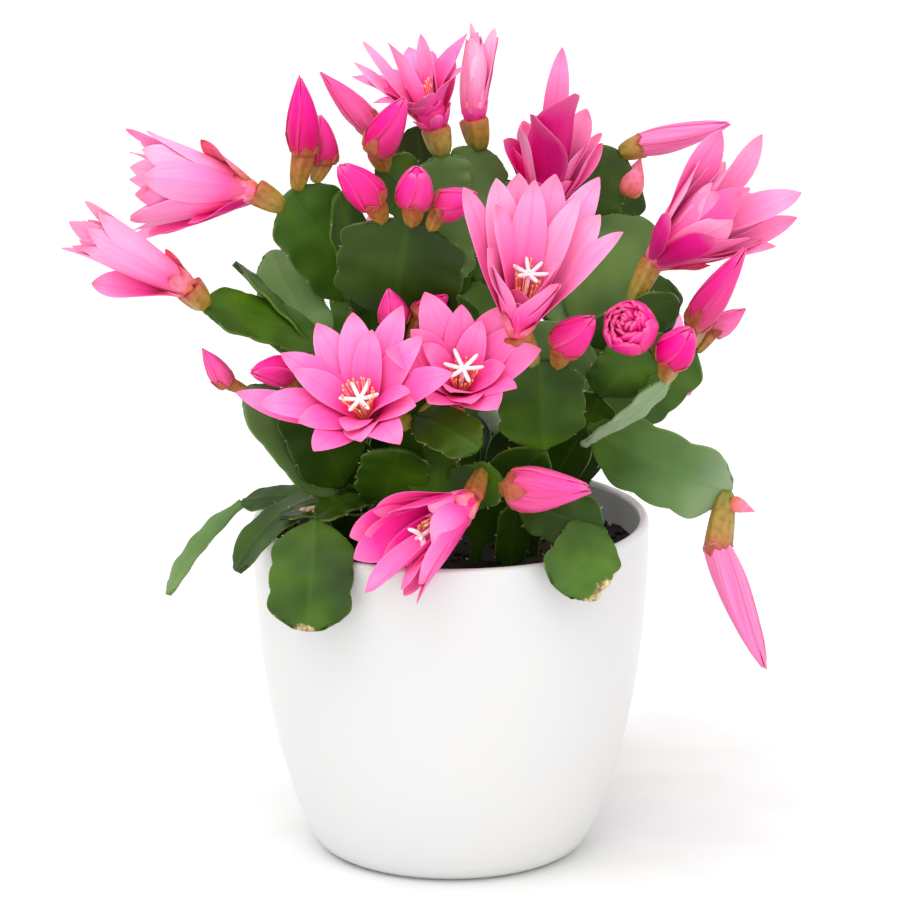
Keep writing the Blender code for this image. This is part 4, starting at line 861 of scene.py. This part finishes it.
for name, (stem, pad, along_pad, aside, base, points_to, kind, spread, roll, length, bloom_tone) in BLOOMS.items():
    piece = Piece()
    foot, axis, _ = standing(base, points_to)
    ovary(piece, PADS[stem][pad].at(along_pad, aside), foot + axis * OVARY_SEAT * MM,
          OVARY_RADIUS * MM * SMALLER_OVARY.get(name, 1), 2, RIPE_BLOOMS.get(name, 0))
    first = SIDEWAYS.cross(axis).normalized()
    slim = SLIM_TUBE if kind in ("narrow", "closed") else 1
    profile = [(radius * slim * MM, height * MM) for radius, height, _ in TUBE]
    points, faces, _ = turned(profile, TUBE_SIDES, foot, axis, *TUBE_LOBES)
    piece.add(points, faces, 0, along=np.repeat([pinkness for *_, pinkness in TUBE], TUBE_SIDES),
              tone=bloom_tone, across=0.5)
    draw = random.Random(name)
    chance = random.Random(name + "_wave")
    thin_side, thinness = SHORTER.get(name, (axis, 0))
    shaded_side, deepness = PAINTED_SHADE_SIDE.get(name, (axis, 0))
    for row, (count, reach, opening, width, start, deeper) in enumerate(WHORLS[kind]):
        for number in range(count):
            angle = math.radians(roll) + math.tau * (number + 0.5 * (row > 0)) / count
            outward = outward_at(axis, first, angle + draw.uniform(-0.08, 0.08))
            lean = spread * opening + draw.uniform(-2, 2)
            less = min(thinness * (1.6 if row else 1), 0.85)
            size = length * MM * reach * draw.uniform(0.92, 1.04) * (1 - less * max(outward.dot(thin_side), 0))
            root = foot + (axis * PETALS_START * (row % 2 + 1) + outward * start) * MM
            # Painted light and shade: the pink is paler on petals pointing up and deeper on those pointing down
            petal_tone = bloom_tone + deeper + chance.uniform(-0.16, 0.18) - UNDERSIDE_SHADE_TONE * outward.dot(RISING)
            # Petals on the bloom's shaded side get a deeper pink: painted shade
            petal_tone += deepness * outward.dot(shaded_side)
            petal(piece, root, axis, outward, size, lean, ARCH[kind] * chance.uniform(0.85, 1.15),
                  width * MM * chance.uniform(0.88, 1.08), min(max(petal_tone, -1), 1), chance, 0, HUG[kind],
                  TAPER[kind], FACING_FRONT.get(name, 0))
    for tip, width, stray_tone, look in STRAYS.get(name, ()):
        way = seen(*tip) - foot
        outward = (way - axis * way.dot(axis)).normalized()
        root = foot + (axis * PETALS_START + outward * STRAY_START) * MM
        way = seen(*tip) - root
        petal(piece, root, axis, outward, way.length, math.degrees(axis.angle(way)), STRAY_ARCH, width * MM,
              stray_tone, chance, look, HUG[kind], TAPER[kind], STRAY_TURN)
    for number in range(SCALES):
        angle = math.radians(roll + 20) + math.tau * number / SCALES + chance.uniform(-0.2, 0.2)
        outward = outward_at(axis, first, angle)
        petal(piece, foot + (outward * 3.0 - axis * 0.5) * MM, axis, outward,
              length * chance.uniform(0.18, 0.30) * MM, spread * 0.4 + 16, SCALE_ARCH, SCALE_WIDTH * MM, 0.5,
              chance, 0 if kind in ("flared", "closed") else 1, 1.0)
    for number in range(FILAMENTS if kind != "narrow" else 0):
        outward = outward_at(axis, first, math.tau * number / FILAMENTS + chance.uniform(-0.1, 0.1))
        tall = length * chance.uniform(0.28, 0.44)
        lean = math.radians(spread * 0.25)
        rise, aside = FILAMENT_FOOT
        places = [foot + (axis * (rise + tall * s * math.cos(lean * s))
                          + outward * (aside + tall * s * math.sin(lean * s))) * MM for s in (0, 0.35, 0.7, 1.0)]
        piece.add(*rod(places, [FILAMENT_RADIUS] * 4, 5), look=3, tone=FILAMENT_TONE)
        pollen = [places[-1] + axis * rise * MM for rise, _ in POLLEN]
        piece.add(*rod(pollen, [radius for _, radius in POLLEN], 6), look=3, tone=POLLEN_TONE)
    piece.make(name + "_petals", [petal_satin, sepal_skin, ovary_skin, white_thread],
               SLOTS.get(name, "pink_petal"), name)

# The white stigmas: a thin style from the bloom's throat with a star of blunt fleshy lobes. Each has the
# height of its star above the bloom's foot and the length of its lobes, in mm.
STIGMAS = {"bloom_centre": (26, 6.4), "bloom_left_star": (15, 7.2), "bloom_right_star": (19, 7.0),
           "bloom_low": (22, 4.8)}
STYLE_FOOT = 3.6
STIGMA_LOBES = 6
LOBE_PROFILE = ((0, 0.6), (0.2, 0.72), (0.5, 0.8), (0.8, 0.76), (0.95, 0.52), (1.0, 0.14))
for name, (rise, lobe_length) in STIGMAS.items():
    foot, axis, _ = standing(*BLOOMS[name][4:6])
    piece = Piece()
    chance = random.Random(name + "_star")
    style = [foot + axis * height * MM for height in (STYLE_FOOT, rise * 0.5, rise)]
    piece.add(*rod(style, (0.75, 0.65, 0.8), 10))
    first = axis.orthogonal().normalized()
    for lobe in range(STIGMA_LOBES):
        outward = outward_at(axis, first, math.tau * lobe / STIGMA_LOBES + chance.uniform(-0.12, 0.12))
        reach = lobe_length * chance.uniform(0.9, 1.06)
        places = [style[-1] + (outward * reach * s + axis * (1.9 * s * s + 0.2)) * MM for s, _ in LOBE_PROFILE]
        piece.add(*rod(places, [radius for _, radius in LOBE_PROFILE], 8))
    node = name.replace("bloom", "stigma")
    piece.make(node + "_lobes", [white_thread], "white_stigma", node)

# The buds: closed flowers, magenta petals folded over each other in a spindle on a small ovary. Each has
# what carries it and where it is seen, as a bloom does, then its radius in mm and its ovary's share.
BUDS = {
    "bud_half_open": ("stem_front", "rail", 0.97, 0.4, (20, 9, -66), (49, 9, -74), 7.0, 1.0),
    "bud_long_right": ("stem_top_right", "crest", 0.96, 0.6, (65, 129, 20), (98, 137, 16), 4.0, 1.1),
    "bud_hanging": ("stem_right", "wing", 0.97, 0, (92, -9, -38), (110, -54, -42), 4.7, 1.22),
    "bud_tall": ("stem_upper_left", "shield", 0.97, 0.3, (-51, 126, -14), (-53, 154, -18), 5.0, 1.0),
    "bud_tall_dark": ("stem_upper_left", "shield", 0.93, 0.8, (-44, 122, -6), (-46, 140, -4), 4.4, 0.8),
    "bud_slant": ("stem_top", "sprig", 0.95, 0, (-26, 134, -1), (-46, 155, -4), 3.8, 1.0),
    "bud_upright": ("stem_top", "sprig", 0.90, 0, (-27, 126, -16), (-16, 146, -17), 5.4, 1.0),
    "bud_round_left": ("stem_middle_left", "round", 0.95, -0.55, (-26, 109, -44), (-39, 122, -52), 5.4, 1.0),
    "bud_round_middle": ("stem_middle_left", "round", 0.97, 0.1, (-13, 108, -45), (-12, 121, -50), 5.6, 1.0),
    "bud_round_right": ("stem_middle_left", "round", 0.95, 0.5, (-5, 107, -42), (9, 112, -45), 4.8, 0.8),
    "bud_behind_star": ("stem_middle_left", "prop", 0.97, -0.4, (-19, 66, -43), (-22, 79, -42), 4.6, 0.7),
    "bud_between_stars": ("stem_middle_left", "prop", 0.97, 0.5, (-12, 68, -42), (-1, 77, -40), 4.2, 0.7),
    "bud_left": ("stem_left_low", "dark", 0.97, -0.4, (-56, 50, -34), (-70, 50, -42), 4.6, 0.8),
    "bud_far_left": ("stem_left_low", "pale", 0.97, 0, (-78, 45, -36), (-87, 58, -38), 2.9, 0.6),
    "bud_centre": ("stem_centre", "paddle", 0.93, 0.5, (38, 58, -56), (50, 69, -62), 5.8, 1.0),
    "bud_rosette": ("stem_right", "paddle", 0.97, 0, (64, 64, -52), (60, 68, -66), 8.2, 0.8),
    "bud_right_long": ("stem_right_rear", "wing", 0.95, 0.2, (85, 66, -22), (103, 93, -36), 4.8, 1.0),
    "bud_right_tip": ("stem_right_rear", "wing", 0.97, 0.6, (91, 64, -12), (103, 72, -12), 3.2, 0.6),
    "bud_right_low": ("stem_right", "strip", 0.97, 0, (76, 54, -52), (84, 65, -60), 6.0, 1.0),
    "bud_back_middle": ("stem_back_left", "side", 0.97, 0, (-52, 51, 50), (-56, 68, 56), 5.0, 1.0),
    "bud_back_right": ("stem_back_right", "fan", 0.97, 0, (40, 102, 72), (42, 116, 88), 5.4, 1.0),
    "bud_back_low": ("stem_back_right", "low", 0.97, 0, (66, 23, 70), (72, 20, 90), 5.0, 1.0),
}
BUD_OVARY_RADIUS = 3.7
# How ripe the ovaries are, and how far a bud is on from magenta to pale pink; then how far it has opened
RIPE_BUDS = {"bud_hanging": 0.1, "bud_long_right": 0.1, "bud_half_open": 0.3}
USUAL_RIPENESS = 0.45
PALE_BUDS = {"bud_hanging": 0.85, "bud_long_right": 0.8, "bud_right_tip": 0.6, "bud_far_left": 0.4,
             "bud_slant": 0.4, "bud_half_open": 0.3, "bud_right_long": 0.1}
USUAL_PALENESS = 0.03
OPENING = {"bud_half_open": 0.22, "bud_rosette": 0.75, "bud_right_long": 0.2}
# The shapes: how far round a fold winds and spreads, how thick it is and how deep an ovary sits in its bud,
# and the share of the bud's radius at shares of its length
BUD_TWIST = 0.9
FOLD_SPREAD = 0.72
FOLD_HALF_THICKNESS = 0.2
ROSETTE_HALF_THICKNESS = 0.45
BUD_OVARY_SEAT = 0.4
BUD_OVARY_REACH = 0.055
BUD_PROFILE = ((0, 0.70), (0.06, 0.86), (0.18, 0.99), (0.3, 1.0), (0.42, 0.92), (0.56, 0.75), (0.70, 0.52),
               (0.83, 0.30), (0.93, 0.12), (1.0, 0.02))
ROSETTE_PROFILE = ((0, 0.15, 0.4, 0.8, 1), (0.6, 0.95, 1.0, 0.93, 0.80))
FULL_AT = 0.3
BUD_SIDES = 24
# The whorls of folds: how far they are shifted round, how many they are, and their share of the radius
CLOSED_WHORLS = ((0.0, 5, 1.0),)
OPEN_WHORLS = ((0.0, 5, 1.0), (0.5, 4, 0.9))
ROSETTE_WHORLS = ((0.0, 5, 1.0), (0.5, 5, 0.82), (0.2, 4, 0.63), (0.7, 4, 0.44), (0.4, 3, 0.26), (0.9, 2, 0.10))
# How blunt a bud's tip is: 1 is a spindle's point, and lower is blunter
BLUNT_BUDS = {"bud_round_left": 0.6, "bud_round_middle": 0.5, "bud_round_right": 0.7, "bud_centre": 0.75,
              "bud_right_low": 0.75, "bud_upright": 0.75, "bud_left": 0.75, "bud_tall_dark": 0.8,
              "bud_hanging": 0.65, "bud_long_right": 0.75}
# How long the scales are on buds that have short ones
SHORT_SCALES = {"bud_hanging": 0.3, "bud_long_right": 0.35}
# Tiny buds beside a bud: where the foot and the head are seen, and the radius in mm
TINY_BUDS = {"bud_hanging": ((97.5, 4.5, -35), (106.4, 1.0, -37), 2.7),
             "bud_long_right": ((62.0, 112.0, 22), (66.5, 125.0, 20), 4.6)}


def bud_share(along):
    """A bud's share of its full radius at a share of its length."""
    return np.interp(along, *np.array(BUD_PROFILE).T)


def add_fold(piece, foot, axis, angles, layer, rise, half_thick, look=0, **marks):
    """Adds a thin blade that lies round a bud's axis, `layer` mm from it, and rises along it."""
    first = axis.orthogonal().normalized()
    around = (np.cos(angles)[..., None] * np.array(first)
              + np.sin(angles)[..., None] * np.array(axis.cross(first)))
    grid = np.array(foot) + around * (layer * MM)[..., None] + rise[..., None] * np.array(axis)
    add_blade(piece, grid[:, ::-1], half_thick * MM, look, **marks)


# Bud petals: the same satin, closed and darker, magenta with a paler edge where each folds over the next.
bud_satin, tree = new_material("magenta_bud_satin")
along, across, tone = (add_node(tree, "Attribute", out="Fac", attribute_name=mark)
                       for mark in ("along", "across", "tone"))
tint = add_node(tree, "ValToRGB", [along], [(0.0, "#c07a30"), (0.10, "#d02058"), (0.22, "#d4006c"),
                                            (0.6, "#ec008e"), (0.88, "#f8209c"), (1.0, "#ff6aa8")])
tint = add_node(tree, "MixRGB", (tone, tint, "#ff8cc4"))
rim = add_node(tree, "MapRange", (across, 0.75, 1.0, 0.0, 0.22))
tint = add_node(tree, "MixRGB", (rim, tint, "#f98a98"))
vein_across = add_node(tree, "Math", (across, 7.0), operation="MULTIPLY")
vein_place = add_node(tree, "CombineXYZ", (vein_across, along, tone))
veins = add_node(tree, "TexNoise", {"Vector": vein_place, "Scale": 1.3, "Detail": 2.0})
vein_tint = add_node(tree, "ValToRGB", [veins], [(0.3, "#e2b9cc"), (0.6, "#ffffff")])
tint = add_node(tree, "MixRGB", (0.8, tint, vein_tint), blend_type="MULTIPLY")
relief = add_node(tree, "Bump", {"Height": veins, "Strength": 0.3, "Distance": 0.0003})
add_node(tree, "BsdfPrincipled", {"Base Color": tint, "Normal": relief, "Roughness": 0.4, "IOR": 1.4,
                                  "Specular IOR Level": 0.3})

# Shares of a fold's length and of its width, for its rows and columns
t = np.linspace(0.0, 1.0, 15)[:, None]
v = np.linspace(-1, 1, 9)[None]
for name, (stem, pad, along_pad, aside, base, points_to, radius, ovary_share) in BUDS.items():
    piece = Piece()
    chance = random.Random(name)
    foot, axis, length = standing(base, points_to)
    head = foot + axis * (BUD_OVARY_SEAT * MM + BUD_OVARY_REACH * length)
    ovary(piece, PADS[stem][pad].at(along_pad, aside), head, ovary_share * BUD_OVARY_RADIUS * MM, 1,
          RIPE_BUDS.get(name, USUAL_RIPENESS))
    rosette = name == "bud_rosette"
    blunt = BLUNT_BUDS.get(name, 1)
    opening = OPENING.get(name, 0)
    slim, low = (0.94, 0.86) if rosette else (0.86, 0.97)
    core = [(share ** (blunt if height > FULL_AT else 1) * slim * radius * MM, height * length * low)
            for height, share in BUD_PROFILE]
    points, faces, along = turned(core, BUD_SIDES, foot, axis)
    piece.add(points, faces, 0, along=along * 0.7 + 0.15, tone=0.05)
    for shift, count, size in ROSETTE_WHORLS if rosette else OPEN_WHORLS if opening else CLOSED_WHORLS:
        for number in range(count):
            reach = chance.uniform(0.93, 1.0)
            span = math.tau / count * FOLD_SPREAD * np.clip(1 - (t * 0.97) ** 3.2, 0, 1) ** (0.7 * blunt)
            angles = math.tau * (number + shift) / count + BUD_TWIST * t + span * v
            near = bud_share(t * reach) ** (1 + (blunt - 1) * np.minimum(t / FULL_AT, 1)) * size
            if rosette:
                reach = (1.02 - 0.3 * size) * chance.uniform(0.94, 1.0)
                near = np.interp(t, *ROSETTE_PROFILE) * size
            else:
                near = near + opening * np.clip(t - 0.45, 0, 1) ** 1.3 * chance.uniform(0.8, 1.3)
            fold = 0.25 + 0.45 * (v + 1) * (0.5 + t * (1 - t)) + 0.12 * np.sin(9 * t + 5 * v)
            layer = near * radius + fold * np.clip(near * 2, 0.15, 1)
            layer = layer + opening * 0.5 * np.sin(4 * v + number * 2 + 6 * t) * t ** 3
            paleness = PALE_BUDS.get(name, USUAL_PALENESS) + chance.uniform(-0.1, 0.15)
            add_fold(piece, foot, axis, angles, layer, t * reach * length,
                     ROSETTE_HALF_THICKNESS if rosette else FOLD_HALF_THICKNESS, along=t, across=v[:, ::-1],
                     tone=paleness)
    for number in range(SCALES):
        reach = chance.uniform(0.12, 0.32) * SHORT_SCALES.get(name, 1)
        angles = math.tau * number / SCALES + chance.uniform(-0.3, 0.3) + 0.5 * (1 - t ** 2) * v
        layer = bud_share(t * reach) * radius + 0.9 * np.minimum(t * 5, 1) + 0.3 * t ** 3 + 0.1 * v ** 2
        add_fold(piece, foot, axis, angles, layer, t * reach * length, FOLD_HALF_THICKNESS, 1,
                 along=0.85 + 0.15 * t, tone=0.5)
    if name in TINY_BUDS:
        *ends, tiny_radius = TINY_BUDS[name]
        foot, head = (seen(*end) for end in ends)
        profile = [(share * tiny_radius * MM, height * (head - foot).length) for height, share in BUD_PROFILE]
        points, faces, along = turned(profile, BUD_SIDES, foot, (head - foot).normalized(), 4, 0.06)
        piece.add(points, faces, 2, along=along * 0.9, tone=0.5)
    piece.make(name + "_folds", [bud_satin, ovary_skin, sepal_skin], "magenta_bud", name)
